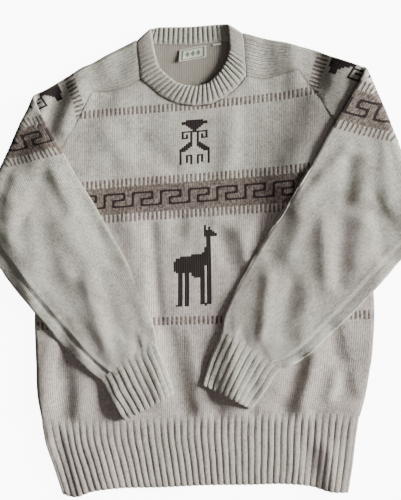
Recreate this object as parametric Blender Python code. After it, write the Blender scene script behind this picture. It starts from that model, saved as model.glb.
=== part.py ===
"""A knitted wool sweater laid flat, front up, with both sleeves folded over its front.

The hem points towards -Y, the neck towards +Y and the table is Z = 0. The plan is measured in
millimetres from a point on the middle of the chest, and PLAN_CENTRE moves it so that the origin is
the centre of the sweater's footprint. Left and right are the wearer's: the left sleeve is at +X.
"""
import bpy
import bmesh
import numpy as np

MM = 0.001
PLAN_CENTRE = (1.5, 2.6)

# The knit and how it lies, in millimetres
CLOTH = 2.6                     # thickness of the knit
LOFT = 2.6                      # air between the front and the back
SEAM_GAP = 0.3                  # between two pieces that are sewn together
RIB_HEIGHT = 1.2                # how far a rib stands out of the wall
BACK_MID = CLOTH / 2            # height of the middle of the back's wall
FRONT_MID = BACK_MID + CLOTH + LOFT
SIDE_MID = (BACK_MID + FRONT_MID) / 2
SIDE_ROUND = (FRONT_MID - BACK_MID) / 2
TOP = FRONT_MID + CLOTH / 2     # upper face of the front

# The sleeves: the turn over the fold, and how the folded half settles on the front
FOLD_BORE = 1.5                 # inner radius of the turn
FOLD_AXIS = TOP + FOLD_BORE     # height of the axis that the sleeve turns about
FOLD_REACH = FOLD_AXIS          # from the axis out to the fold's outermost face
TURN_LENGTH = np.pi * (FOLD_AXIS - SIDE_MID)
FOLD_TURNS = (1.25, 1, 0.75, 0.5, 0.25, 0)   # rows round the fold, in shares of the turn
SETTLE_LENGTH = 60              # way from the fold to where the sleeve lies on the front
SAG_LENGTH = 25                 # way from the fold to where it may sink beside the body
CREASE_LENGTH = 20              # way from the fold to where its own folds start
CLEARANCE = 0.8                 # left under a settled sleeve
SAG = 6.0                       # how far a sleeve sinks beside the body
SAG_WIDTH = 42
WELT_LIFT = {"from": -205, "way": 25}        # where a sleeve rises onto the ribs of the hem
CROWN = 2.2                     # how full the upper face of a folded sleeve is
SADDLE_SHARE = 0.79             # where the saddle starts, from the underarm to the shoulder line
SADDLE_ROWS = 3
ARMHOLE_RISE = 80               # from the underarm to the saddle, along the sleeve
ARMHOLE_CURVE = 1.5             # the armhole rises slowly at first, by this power
CUFF_FULLNESS = 14              # way above the cuff in which the sleeve widens
LOWER_ROWS = 13                 # rows from there to the fold
UPPER_ROWS = 5                  # rows from the fold to the armhole
PATH_SAMPLES = 400              # places along a line of the sleeve where the fold is looked for

# Ribs
RIB_STEPS = ((0.0, 0.0), (0.16, 1.0), (0.56, 1.0), (0.72, 0.0))   # place in a pitch, share of height
RIB_ROWS = (0, 0.45, 1)         # the rows of a ribbed piece, from its seam to its free edge
RIB_START = 0.3                 # share of a rib's height at the seam
HEM_RIBS = 46
CUFF_RIBS = 20
NECK_RIBS = 50


def table(columns, *rows):
    """A table with named columns: one array for each name."""
    return dict(zip(columns.split(), np.array(rows, float).T))


# The body's two sides, from the top of the hem rib to the underarms
SIDES = table("y left right",
              (-236, -239, 236), (-207, -245, 244), (-147, -248, 254), (-87, -250, 259),
              (-27, -248, 257), (33, -246, 253), (105, -244, 249))
UNDERARM_RIGHT = (-244, 93)
UNDERARM_LEFT = (248, 116)

# Where the front ends and the hem rib starts, and the hem's own lower edge
HEM_TOP = table("x y", (-239, -241), (-205, -238), (-122, -237), (0, -231), (118, -226), (190, -226),
                (236, -231))
HEM_EDGE = table("x y", (-209, -347), (-190, -352), (-165, -344), (-130, -339), (-60, -337), (0, -334),
                 (75, -333), (125, -332), (165, -336), (193, -344), (220, -345))
HEM_SIDES = table("share left right", (0, -239, 236), (0.3, -233, 231), (0.6, -222, 227), (1, -208, 220))

# The neck: where the band is linked on, and the band's own free edge beside each of those points
FRONT_NECK = table("x y edge_x edge_y",
                   (-92, 273, -63, 291), (-77, 261, -51, 279), (-62, 248, -38, 269),
                   (-40, 237, -24, 264.5), (-13, 233, -7, 263), (13, 236, 9, 267), (35, 246, 20, 276),
                   (55, 262, 31, 290), (68, 278, 38, 304))
BACK_NECK = table("x y edge_x edge_y",
                  (-96, 323, -75, 349), (-67, 327, -65, 352), (-17, 326, -17, 352.5), (28, 330, 25, 356),
                  (61, 334, 37, 357))
# The free edge beside each saddle: on the front, at the band's own fold, and on the back
NECK_FOLD_RIGHT = table("x y", (-69, 311), (-74.5, 348.5), (-74.5, 350))
NECK_FOLD_LEFT = table("x y", (42, 321), (37.5, 355), (36.5, 356))
BAND_GAP = 0.45                 # the band turns sharply at the shoulders, so its gap is wider
BAND_LIFT = 1.8                 # how far the band's free edge stands above the front
BAND_FULLNESS = 1.0             # how full the band is between its two edges

# Each sleeve as it would lie unfolded: s runs from the cuff's seam up the sleeve, top is the edge at
# the shoulder line and under the edge at the underarm. The last row's under point is inside the body.
SLEEVE_RIGHT = {
    "side": -1,
    "sections": table("s top_x top_y under_x under_y",
                      (-80, -722, 99, -700, 18), (-40, -683, 117, -664, 25), (0, -648, 131, -629, 33),
                      (14, -636, 139, -615, 31), (110, -541, 177, -528, 29), (220, -434, 203, -417, 36),
                      (300, -350, 221, -340, 48), (400, -253, 248, -244, 93), (480, -176, 292, -119, 116)),
    "saddle": table("front_x front_y top_x top_y back_x back_y",
                    (-164, 255, -176, 292, -164, 255), (-137, 256, -152, 303, -141, 280),
                    (-114, 262, -124, 317, -118, 303), (-92, 273, -97, 331, -96, 323)),
    "underarm": 400,
    "fold": ((-253, 248), (-340, 48)),
}
SLEEVE_LEFT = {
    "side": 1,
    "sections": table("s top_x top_y under_x under_y",
                      (-80, 752, 124, 726, 48), (-40, 715, 144, 690, 54), (0, 674, 162, 650, 60),
                      (14, 663, 170, 640, 54), (110, 560, 206, 541, 44), (220, 450, 231, 432, 49),
                      (320, 350, 261, 344, 56), (410, 247, 290, 248, 116), (490, 155, 321, 107, 164)),
    "saddle": table("front_x front_y top_x top_y back_x back_y",
                    (145, 288, 155, 321, 145, 288), (120, 281, 126, 327, 117, 305),
                    (93, 274, 93, 333, 89, 321), (68, 278, 62, 342, 61, 334)),
    "underarm": 410,
    "fold": ((247, 290), (343, 56)),
}
CUFF_LENGTH = 80

# The largest folds: a line, its half width and how far it rises or sinks
BODY_FOLDS = table("x0 y0 x1 y1 width rise",
                   (203, -100, 221, -214, 15, -1.6), (158, -150, 134, -222, 14, 1.3),
                   (186, -120, 168, -222, 12, -1.2), (-205, -110, -206, -228, 14, -1.6),
                   (-172, -140, -178, -226, 14, 1.2), (-50, -100, -47, -200, 15, -1.2),
                   (-10, -120, -16, -215, 16, 1.3), (30, 32, 52, -8, 13, -1.3), (-66, 48, -62, 12, 12, -1.0),
                   (-58, -40, -74, -80, 14, 1.0), (178, -282, 190, -345, 11, -2.0),
                   (206, -285, 212, -345, 13, 3.4), (-214, -270, -200, -345, 14, -1.8))
SLEEVE_FOLDS = table("x0 y0 x1 y1 width rise",
                     (-262, 150, -250, -20, 15, 2.2), (-216, 150, -205, 75, 13, -1.6),
                     (-170, 60, -120, -60, 16, 1.4), (-212, -20, -150, -130, 14, -1.2),
                     (212, 150, 150, 90, 14, -1.7), (240, 160, 190, 90, 15, 1.8),
                     (170, 40, 90, -60, 17, 1.4), (262, 60, 200, -30, 15, -1.4))

# Label and tab inside the back neck: corners in order, seen from above
LABEL_CORNERS = ((-32.5, 317.5), (7, 325), (7.5, 307.5), (-34, 299.5))
LABEL_GRID = (6, 3)             # columns and rows of points
LABEL_THICK = 0.6
LABEL_LIFT = 2.0                # its free left end stands off the back
TAB_CORNERS = ((17, 326.5), (29, 328), (29.3, 325.6), (17.3, 324.1))
TAB_THICK = 0.9

FRONT_ROWS = 13                 # rows of a panel from the hem to the underarms
BACK_ROWS = 8
SIDE_TURNS = (0, 45, 90)        # the side's quarter round, in degrees
SHARP_ANGLE = 50                # edges of the solids that turn more than this look crisp, in degrees

COLOURS = {
    "front": (0.40, 0.385, 0.355), "back": (0.36, 0.345, 0.315), "sleeve": (0.39, 0.37, 0.33),
    "rib": (0.36, 0.335, 0.315), "label": (0.62, 0.60, 0.48),
}


def smooth(x, xs, ys):
    """A smooth curve through the table's points (xs rising), read at x."""
    x = np.asarray(x, float)
    slope = np.gradient(ys, xs)
    i = np.clip(np.searchsorted(xs, x) - 1, 0, len(xs) - 2)
    span = xs[i + 1] - xs[i]
    t = np.clip((x - xs[i]) / span, 0, 1)
    a = (1 + 2 * t) * (1 - t) ** 2
    b = t * (1 - t) ** 2
    c = t ** 2 * (3 - 2 * t)
    d = t ** 2 * (t - 1)
    return a * ys[i] + b * span * slope[i] + c * ys[i + 1] + d * span * slope[i + 1]


def ease(t):
    """0 to 1 with soft ends."""
    t = np.clip(t, 0, 1)
    return t * t * (3 - 2 * t)


def fold_height(folds, x, y):
    """Height added at a place of the plan by soft ridges and troughs."""
    height = np.zeros(np.broadcast(x, y).shape)
    for x0, y0, x1, y1, width, rise in zip(*folds.values()):
        length = np.hypot(x1 - x0, y1 - y0)
        along = ((x - x0) * (x1 - x0) + (y - y0) * (y1 - y0)) / length
        across = ((x - x0) * (y1 - y0) - (y - y0) * (x1 - x0)) / length
        past = np.maximum(np.maximum(-along, along - length), 0)
        height = height + rise * np.exp(-(across / width) ** 2 - (past / width) ** 2)
    return height


def front_height(x, y):
    """Middle of the front's wall above the table."""
    return FRONT_MID + fold_height(BODY_FOLDS, x, y)


# Walls

def thick_mesh(name, outer, inner, cells, closed, colour):
    """A closed wall between two grids of points; cells says which of the grid's cells are cloth."""
    rows, columns = outer.shape[:2]
    used = {}
    points = []

    def corner(face, j, k):
        key = (face, j, k % columns)
        if key not in used:
            used[key] = len(points)
            x, y, z = (outer if face else inner)[j, k % columns]
            points.append(((x - PLAN_CENTRE[0]) * MM, (y - PLAN_CENTRE[1]) * MM, z * MM))
        return used[key]

    faces = []
    edges = {}
    for j in range(rows - 1):
        for k in range(columns if closed else columns - 1):
            if not cells[j, k]:
                continue
            loop = [(j, k), (j, (k + 1) % columns), (j + 1, (k + 1) % columns), (j + 1, k)]
            faces.append([corner(1, *place) for place in loop])
            faces.append([corner(0, *place) for place in reversed(loop)])
            for a, b in zip(loop, loop[1:] + loop[:1]):
                if (b, a) in edges:
                    del edges[(b, a)]
                else:
                    edges[(a, b)] = True
    for a, b in edges:
        faces.append([corner(1, *b), corner(1, *a), corner(0, *a), corner(0, *b)])

    mesh = bpy.data.meshes.new(name)
    mesh.from_pydata(points, [], faces)
    shape = bmesh.new()
    shape.from_mesh(mesh)
    bmesh.ops.triangulate(shape, faces=shape.faces, quad_method="SHORT_EDGE")
    bmesh.ops.recalc_face_normals(shape, faces=shape.faces)
    shape.to_mesh(mesh)
    shape.free()
    mesh.shade_smooth()
    mesh.set_sharp_from_angle(angle=np.radians(SHARP_ANGLE))
    piece = bpy.data.objects.new(name, mesh)
    bpy.context.scene.collection.objects.link(piece)
    mesh.materials.append(cloth_material(name, colour))
    return piece


def cloth_material(name, colour):
    material = bpy.data.materials.new(name)
    material.use_nodes = True
    shader = material.node_tree.nodes["Principled BSDF"]
    shader.inputs["Base Color"].default_value = (*colour, 1)
    shader.inputs["Roughness"].default_value = 0.95
    shader.inputs["Metallic"].default_value = 0
    return material


def all_cells(grid, closed=False):
    return np.ones((grid.shape[0] - 1, grid.shape[1] - (0 if closed else 1)), bool)


def along_polyline(points, shares):
    """Points at the given shares of a polyline's length."""
    steps = np.linalg.norm(np.diff(points, axis=0), axis=1)
    length = np.concatenate(([0], np.cumsum(steps))) / steps.sum()
    return np.stack([np.interp(shares, length, points[:, i]) for i in range(points.shape[1])], axis=-1)


# Sleeves

def sleeve_edges(sleeve, s):
    """The shoulder line edge and the underarm edge of the unfolded sleeve at s."""
    t = sleeve["sections"]
    top = np.stack([smooth(s, t["s"], t["top_x"]), smooth(s, t["s"], t["top_y"])], axis=-1)
    under = np.stack([smooth(s, t["s"], t["under_x"]), smooth(s, t["s"], t["under_y"])], axis=-1)
    return top, under


# Stations around the flattened sleeve: share of its width from the underarm, and the turn in
# degrees, 90 on the front layer, -90 on the back layer and between them round an edge
INSIDE_SHARES = (0.12, 0.3, 0.5, 0.66, SADDLE_SHARE, 0.9)
AROUND = ([(0, 0), (0, 45), (0, 90)] + [(u, 90) for u in INSIDE_SHARES]
          + [(1, 90), (1, 45), (1, 0), (1, -45), (1, -90)]
          + [(u, -90) for u in reversed(INSIDE_SHARES)] + [(0, -90), (0, -45)])
CORNER_FRONT = AROUND.index((SADDLE_SHARE, 90))
CORNER_BACK = AROUND.index((SADDLE_SHARE, -90))


def flat_point(sleeve, s, share, turn, out):
    """A point of the unfolded sleeve's wall; out is the distance from the wall's middle."""
    top, under = sleeve_edges(sleeve, s)
    return tube_point(sleeve, top, under, share, turn, out)


def tube_point(sleeve, top, under, share, turn, out):
    """A point of a flattened tube between two edges of the plan."""
    width = np.linalg.norm(top - under, axis=-1, keepdims=True)
    across = (top - under) / width
    turn = np.radians(turn)
    reach = SIDE_ROUND + out
    inset = SIDE_ROUND - reach * np.cos(turn)
    if share == 0:
        plan = under + across * inset
    elif share == 1:
        plan = top - across * inset
    else:
        plan = under + across * (SIDE_ROUND + share * (width - 2 * SIDE_ROUND))
    past = np.clip((fold_distance(sleeve, plan) + FOLD_REACH) / TURN_LENGTH, 0, 1)
    if turn < 0:
        reach = reach + CROWN * 4 * share * (1 - share) * ease(past)
    height = SIDE_MID + reach * np.sin(turn)
    return np.concatenate([plan, (height + 0 * plan[..., 0])[..., None]], axis=-1)


def fold_frame(sleeve):
    """The fold line's start, its direction and the way out from the body."""
    start, end = (np.array(point, float) for point in sleeve["fold"])
    along = (end - start) / np.linalg.norm(end - start)
    return start, along, np.array([-along[1], along[0]]) * sleeve["side"]


def fold_distance(sleeve, plan):
    """How far a place of the unfolded plan lies beyond the fold's outline."""
    start, along, out = fold_frame(sleeve)
    return (plan - start) @ out


def sink_beside_body(sleeve, plan):
    """How far the folded sleeve sinks where neither the body nor its own upper arm is beneath it."""
    edge = SIDES["left"] if sleeve["side"] < 0 else SIDES["right"]
    outside = (plan[..., 0] - np.interp(plan[..., 1], SIDES["y"], edge)) * sleeve["side"]
    armpit = np.array(UNDERARM_RIGHT if sleeve["side"] < 0 else UNDERARM_LEFT, float)
    corner = np.array(sleeve["fold"][1], float)
    line = (corner - armpit) / np.linalg.norm(corner - armpit)
    below = ((plan - armpit) @ np.array([line[1], -line[0]])) * sleeve["side"]
    return SAG * ease(np.minimum(outside, below) / SAG_WIDTH)


def fold_over(sleeve, points):
    """Turns the unfolded sleeve over its fold line and lays it down on the front."""
    start, along, out = fold_frame(sleeve)
    plan = points[..., :2] - start
    way = plan @ along
    beyond = plan @ out + FOLD_REACH
    angle = np.clip(beyond / (TURN_LENGTH / np.pi), 0, np.pi)
    drop = FOLD_AXIS - points[..., 2]
    rest = np.maximum(beyond - TURN_LENGTH, 0)
    reach = np.where(beyond > 0, drop * np.sin(angle) - rest, beyond) - FOLD_REACH
    height = FOLD_AXIS - drop * np.cos(angle)
    flat = start + way[..., None] * along + reach[..., None] * out
    x, y = flat[..., 0], flat[..., 1]
    beneath = fold_height(BODY_FOLDS, x, y) + RIB_HEIGHT * ease((WELT_LIFT["from"] - y) / WELT_LIFT["way"])
    settle = ease(rest / SETTLE_LENGTH) * (beneath + CLEARANCE - 2 * FOLD_BORE)
    settle = settle - ease(rest / SAG_LENGTH) * sink_beside_body(sleeve, flat)
    top_layer = np.where(points[..., 2] < SIDE_MID, ease(rest / CREASE_LENGTH), 0)
    settle = settle + top_layer * fold_height(SLEEVE_FOLDS, x, y)
    return np.concatenate([flat, (height + settle)[..., None]], axis=-1)


def armhole_start(sleeve, share):
    """Where the sleeve starts beside the body, from the underarm up to the saddle."""
    reach = np.clip(share / SADDLE_SHARE, 0, 1)
    return sleeve["underarm"] + ARMHOLE_RISE * reach ** ARMHOLE_CURVE


def fold_stations(sleeve, share):
    """The places along one line of the sleeve, from the cuff to the armhole, denser at the fold."""
    s = np.linspace(0, sleeve["underarm"] + ARMHOLE_RISE, PATH_SAMPLES)
    top, under = sleeve_edges(sleeve, s)
    beyond = fold_distance(sleeve, under + (top - under) * share) + FOLD_REACH
    at_fold = np.interp(-np.array(FOLD_TURNS) * TURN_LENGTH, -beyond, s)
    start = armhole_start(sleeve, share) - SEAM_GAP
    lower = np.linspace(CUFF_FULLNESS, at_fold[0], LOWER_ROWS)[:-1]
    upper = np.linspace(at_fold[-1], start, UPPER_ROWS)[1:]
    return np.concatenate([[0], lower, at_fold, upper])


def saddle_point(sleeve, row, k, out):
    """A point of the saddle; row counts its sections from the armhole to the neck."""
    share, turn = AROUND[k]
    saddle = sleeve["saddle"]
    top = np.array([saddle["top_x"][row], saddle["top_y"][row]])
    side = "front" if turn > 0 else "back"
    seam = np.array([saddle[side + "_x"][row], saddle[side + "_y"][row]])
    reach = np.linalg.norm(top - seam)
    down = (seam - top) / reach
    width = (reach - SEAM_GAP + SIDE_ROUND * (1 - 2 * SADDLE_SHARE)) / (1 - SADDLE_SHARE)
    return tube_point(sleeve, top, top + down * width, share, turn, out)


def sleeve_grid(sleeve, out):
    """The sleeve's points from the cuff seam to the neck; rows past the armhole are the saddle."""
    columns = []
    for share, turn in AROUND:
        s = fold_stations(sleeve, share)
        columns.append(flat_point(sleeve, s, share, turn, out))
    arm = np.stack(columns, axis=1)
    saddle = np.stack([[saddle_point(sleeve, row + 1, k, out) for k in range(len(AROUND))]
                       for row in range(SADDLE_ROWS)])
    return fold_over(sleeve, np.concatenate([arm, saddle]))


def make_sleeve(name, sleeve):
    outer = sleeve_grid(sleeve, CLOTH / 2)
    inner = sleeve_grid(sleeve, -CLOTH / 2)
    cells = all_cells(outer, closed=True)
    cells[-SADDLE_ROWS:, :CORNER_FRONT] = False
    cells[-SADDLE_ROWS:, CORNER_BACK:] = False
    thick_mesh(name, outer, inner, cells, True, COLOURS["sleeve"])


def rib_share(share):
    """Ribs start low at the seam and reach their full height a little way down."""
    return RIB_START + (1 - RIB_START) * ease(share / RIB_ROWS[1])


def rib_columns(count):
    """Shares of the way round or across, and the rib's share of height at each."""
    places = [((rib + place) / count, height) for rib in range(count) for place, height in RIB_STEPS]
    return np.array(places).T


def make_cuff(name, sleeve):
    """The ribbed cuff, from the sleeve's seam to its free end."""
    shares, relief = rib_columns(CUFF_RIBS)

    def ring(share, out):
        s = np.array(-SEAM_GAP - (CUFF_LENGTH - SEAM_GAP) * share)
        outline = np.stack([fold_over(sleeve, flat_point(sleeve, s, *station, out))
                            for station in AROUND + AROUND[:1]])
        outline[:, 2] += RIB_HEIGHT * rib_share(share)
        return along_polyline(outline, shares)

    plain = np.stack([ring(share, CLOTH / 2) for share in RIB_ROWS])
    raised = np.stack([ring(share, CLOTH / 2 + RIB_HEIGHT * rib_share(share)) for share in RIB_ROWS])
    outer = plain + (raised - plain) * relief[:, None]
    inner = np.stack([ring(share, -CLOTH / 2) for share in RIB_ROWS])
    thick_mesh(name, outer, inner, all_cells(outer, closed=True), True, COLOURS["rib"])


# Body

def armhole_points(sleeve):
    """The armhole's points on the body, one for each line of the sleeve that starts there."""
    points = []
    for share in INSIDE_SHARES[:INSIDE_SHARES.index(SADDLE_SHARE) + 1]:
        top, under = sleeve_edges(sleeve, armhole_start(sleeve, share))
        width = np.linalg.norm(top - under)
        reach = SIDE_ROUND + share * (width - 2 * SIDE_ROUND) - SEAM_GAP * (share == SADDLE_SHARE)
        points.append(under + (top - under) / width * reach)
    return np.array(points)


def panel_sides(low_rows):
    """The two side edges of a body panel, bottom to top: up the side, then round the armhole."""
    y = np.linspace(0, 1, low_rows)
    sides = []
    for key, sleeve in (("left", SLEEVE_RIGHT), ("right", SLEEVE_LEFT)):
        armpit = sleeve_edges(sleeve, np.array(float(sleeve["underarm"])))[1]
        bottom = HEM_TOP["y"][0 if key == "left" else -1]
        heights = bottom + (armpit[1] - bottom) * y
        edge = smooth(heights, SIDES["y"], SIDES[key])
        edge = edge - np.sign(edge) * CLOTH / 2
        side = np.stack([edge, heights], axis=-1)
        side[-1] = armpit[0] - np.sign(armpit[0]) * 2 * SEAM_GAP, armpit[1]
        sides.append(np.concatenate([side, armhole_points(sleeve)]))
    return sides


def panel_top(layer, neck):
    """The top edge of a body panel, left to right: saddle seam, neck, saddle seam."""
    right = SLEEVE_RIGHT["saddle"]
    left = SLEEVE_LEFT["saddle"]
    up = np.stack([right[layer + "_x"], right[layer + "_y"]], axis=-1)
    down = np.stack([left[layer + "_x"], left[layer + "_y"]], axis=-1)[::-1]
    middle = np.stack([neck["x"], neck["y"]], axis=-1)
    return np.concatenate([up[:-1], middle, down[1:]])


def panel_plan(layer, neck, low_rows):
    """Plan of a body panel as a grid of rows and columns between its four edges."""
    left, right = panel_sides(low_rows)
    top = panel_top(layer, neck)
    top[0], top[-1] = left[-1], right[-1]
    across = (top[:, 0] - top[0, 0]) / (top[-1, 0] - top[0, 0])
    bottom_x = left[0, 0] + (right[0, 0] - left[0, 0]) * across
    bottom = np.stack([bottom_x, np.interp(bottom_x, HEM_TOP["x"], HEM_TOP["y"])], axis=-1)
    bottom[0], bottom[-1] = left[0], right[0]
    rise = (left[:, 1] - left[0, 1] + right[:, 1] - right[0, 1]) / (left[-1, 1] - left[0, 1]
                                                                  + right[-1, 1] - right[0, 1])
    u = across[None, :, None]
    v = rise[:, None, None]
    ruled_up = bottom[None] * (1 - v) + top[None] * v
    ruled_across = left[:, None] * (1 - u) + right[:, None] * u
    corners = ((bottom[0] * (1 - u) + bottom[-1] * u) * (1 - v) + (top[0] * (1 - u) + top[-1] * u) * v)
    return ruled_up + ruled_across - corners


def rounded_panel(plan, rounded, front, out, height):
    """Adds the quarter round at both side edges of a plan and gives every point its height."""
    sign = 1 if front else -1
    columns = []
    for edge, beside in ((0, 1), (-1, -2)):
        inward = plan[:, beside] - plan[:, edge]
        inward = inward / np.linalg.norm(inward, axis=-1, keepdims=True)
        turned = []
        for turn in SIDE_TURNS:
            angle = np.radians(turn)
            reach = SIDE_ROUND - SEAM_GAP / 2 + out
            plain_inset = SIDE_ROUND * (1 - np.cos(angle))
            inset = np.where(rounded, SIDE_ROUND - reach * np.cos(angle), plain_inset)
            x, y = (plan[:, edge] + inward * inset[:, None]).T
            flat = height(x, y) + sign * out
            round_z = SIDE_MID + sign * (SEAM_GAP / 2 + reach * np.sin(angle))
            lifted = (height(x, y) - (FRONT_MID if front else BACK_MID)) * np.sin(angle)
            turned.append(np.stack([x, y, np.where(rounded, round_z + lifted, flat)], axis=-1))
        columns.append(turned if edge == 0 else turned[::-1])
    middle = plan[:, 1:-1]
    x, y = middle[..., 0], middle[..., 1]
    middle = np.concatenate([middle, (height(x, y) + sign * out)[..., None]], axis=-1)
    return np.concatenate([np.stack(columns[0], axis=1), middle, np.stack(columns[1], axis=1)], axis=1)


def flat_height(x, y):
    return BACK_MID + 0 * x


def make_panel(name, neck, low_rows):
    """Makes a body panel; returns the middle of its wall along the neck, and its lower edge's plan."""
    plan = panel_plan(name, neck, low_rows)
    rounded = np.arange(len(plan)) < low_rows - 1
    front = name == "front"
    height = front_height if front else flat_height
    outer = rounded_panel(plan, rounded, front, CLOTH / 2, height)
    inner = rounded_panel(plan, rounded, front, -CLOTH / 2, height)
    thick_mesh(name, outer, inner, all_cells(outer), False, COLOURS[name])
    first = len(SIDE_TURNS) - 1 + SADDLE_ROWS
    neck_columns = slice(first, first + len(neck["x"]))
    return (outer + inner)[-1, neck_columns] / 2, plan[0]


def make_hem(name, front, seam, ribs):
    """A welt under a panel; its upper edge follows the panel's lower edge."""
    height = front_height if front else flat_height
    shares, relief = rib_columns(ribs) if ribs else (np.linspace(0, 1, len(seam)), np.zeros(len(seam)))
    rows = []
    for share in RIB_ROWS:
        left = np.interp(share, HEM_SIDES["share"], HEM_SIDES["left"]) + CLOTH / 2
        right = np.interp(share, HEM_SIDES["share"], HEM_SIDES["right"]) - CLOTH / 2
        inside = left + SIDE_ROUND + (right - left - 2 * SIDE_ROUND) * shares[1:]
        x = np.concatenate([[left], inside[:None if ribs else -1], [right]])
        upper = np.interp(x, seam[:, 0], seam[:, 1]) - SEAM_GAP
        lower = np.interp(x, HEM_EDGE["x"], HEM_EDGE["y"])
        rows.append(np.stack([x, upper + (lower - upper) * share], axis=-1))
    plan = np.stack(rows)
    everywhere = np.ones(len(plan), bool)
    outer = rounded_panel(plan, everywhere, front, CLOTH / 2, height)
    inner = rounded_panel(plan, everywhere, front, -CLOTH / 2, height)
    if ribs:
        edge = np.zeros(len(SIDE_TURNS))
        raised = np.concatenate([edge, relief[1:], edge])
        outer[..., 2] += RIB_HEIGHT * rib_share(np.array(RIB_ROWS))[:, None] * raised
    thick_mesh(name, outer, inner, all_cells(outer), False, COLOURS["rib"])


# Neck

def saddle_end(sleeve):
    """The saddle's neck end from front to back: middle of its wall, and the way out of the sleeve."""
    ends = slice(CORNER_FRONT, CORNER_BACK + 1)
    outer = sleeve_grid(sleeve, CLOTH / 2)[-1, ends]
    inner = sleeve_grid(sleeve, -CLOTH / 2)[-1, ends]
    return (outer + inner) / 2, (outer - inner) / CLOTH


def edge_beside_saddle(sleeve, front_corner, back_corner, fold):
    """Plan of the band's free edge beside a saddle, one point for each of the saddle's end points."""
    near, crease, far = np.stack([fold["x"], fold["y"]], axis=-1)
    top = np.array([sleeve["saddle"]["top_x"][-1], sleeve["saddle"]["top_y"][-1]])
    line = (crease - top) / np.linalg.norm(crease - top)
    inward = np.array([line[1], -line[0]]) * -sleeve["side"]
    turned = [crease - inward * SIDE_ROUND * (1 - np.cos(np.radians(turn))) for turn in (90, 45, 0, -45, -90)]
    return np.array([front_corner, near, *turned, far, back_corner])


def make_neckband(front_seam, back_seam):
    """The neckband: a ribbed ring whose seam edge follows the pieces that it is linked to."""
    front_edge = np.stack([FRONT_NECK["edge_x"], FRONT_NECK["edge_y"]], axis=-1)
    back_edge = np.stack([BACK_NECK["edge_x"], BACK_NECK["edge_y"]], axis=-1)[::-1]
    left, left_out = saddle_end(SLEEVE_LEFT)
    right, right_out = (part[::-1] for part in saddle_end(SLEEVE_RIGHT))
    left_edge = edge_beside_saddle(SLEEVE_LEFT, front_edge[-1], back_edge[0], NECK_FOLD_LEFT)
    right_edge = edge_beside_saddle(SLEEVE_RIGHT, front_edge[0], back_edge[-1], NECK_FOLD_RIGHT)[::-1]
    up = np.tile([0.0, 0, 1], (len(front_seam), 1))
    down = np.tile([0.0, 0, -1], (len(back_seam), 1))
    seam = np.concatenate([front_seam, left, back_seam[::-1], right, front_seam[:1]])
    way_out = np.concatenate([up, left_out, down, right_out, up[:1]])
    plan = np.concatenate([front_edge, left_edge, back_edge, right_edge, front_edge[:1]])
    lift = BAND_LIFT * np.clip(way_out[:, 2], 0, 1)
    edge = np.concatenate([plan, (seam[:, 2] + lift)[:, None]], axis=-1)

    steps = np.linalg.norm(np.diff(seam, axis=0), axis=1)
    length = np.concatenate([[0], np.cumsum(steps)]) / steps.sum()
    shares, relief = rib_columns(NECK_RIBS)
    ring = [np.stack([np.interp(shares, length, part[:, i]) for i in range(3)], axis=-1)
            for part in (seam, edge, way_out)]
    low, high, out = ring
    out = out / np.linalg.norm(out, axis=-1, keepdims=True)
    facing_up = (1 + out[:, 2:]) / 2
    outer = []
    inner = []
    for share in RIB_ROWS:
        gap = BAND_GAP / np.linalg.norm(high - low, axis=-1, keepdims=True)
        middle = low + (high - low) * (gap + (1 - gap) * share)
        middle = middle + out * facing_up * BAND_FULLNESS * 4 * share * (1 - share)
        rise = RIB_HEIGHT * rib_share(share) * relief[:, None]
        outer.append(middle + out * (CLOTH / 2 + rise * facing_up))
        inner.append(middle - out * (CLOTH / 2 + rise * (1 - facing_up)))
    outer = np.stack(outer)
    thick_mesh("neckband", outer, np.stack(inner), all_cells(outer, closed=True), True, COLOURS["rib"])


def make_patch(name, corners, thick, lift, colour):
    """A small woven piece on the inside of the back; its left end stands off by lift."""
    a, b, c, d = np.array(corners, float)
    u = np.linspace(0, 1, LABEL_GRID[0])[None, :, None]
    v = np.linspace(0, 1, LABEL_GRID[1])[:, None, None]
    plan = (a * (1 - u) + b * u) * (1 - v) + (d * (1 - u) + c * u) * v
    low = CLOTH + SEAM_GAP + lift * ease(1 - 2 * u[..., 0]) * v[..., 0]
    inner = np.concatenate([plan, low[..., None]], axis=-1)
    outer = inner + np.array([0, 0, thick])
    thick_mesh(name, outer, inner, all_cells(outer), False, colour)


def clear_scene():
    for item in list(bpy.data.objects):
        bpy.data.objects.remove(item, do_unlink=True)


def main():
    clear_scene()
    front_neck, front_edge = make_panel("front", FRONT_NECK, FRONT_ROWS)
    back_neck, back_edge = make_panel("back", BACK_NECK, BACK_ROWS)
    make_sleeve("sleeve_left", SLEEVE_LEFT)
    make_sleeve("sleeve_right", SLEEVE_RIGHT)
    make_hem("hem_front", True, front_edge, HEM_RIBS)
    make_hem("hem_back", False, back_edge, 0)
    make_cuff("cuff_left", SLEEVE_LEFT)
    make_cuff("cuff_right", SLEEVE_RIGHT)
    make_neckband(front_neck, back_neck)
    make_patch("label", LABEL_CORNERS, LABEL_THICK, LABEL_LIFT, COLOURS["label"])
    make_patch("size_tab", TAB_CORNERS, TAB_THICK, 0, COLOURS["label"])


main()
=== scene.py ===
# %% [markdown]
# A wool sweater laid out flat.
# The sweater lies face up on a pale table with both sleeves folded over its front. This lesson knits
# its looks round the fixed solids: every panel becomes a thin shell whose faces are the stitches of
# the knit, so a pattern can be charted on them stitch by stitch, as a knitter would do on paper.

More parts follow.
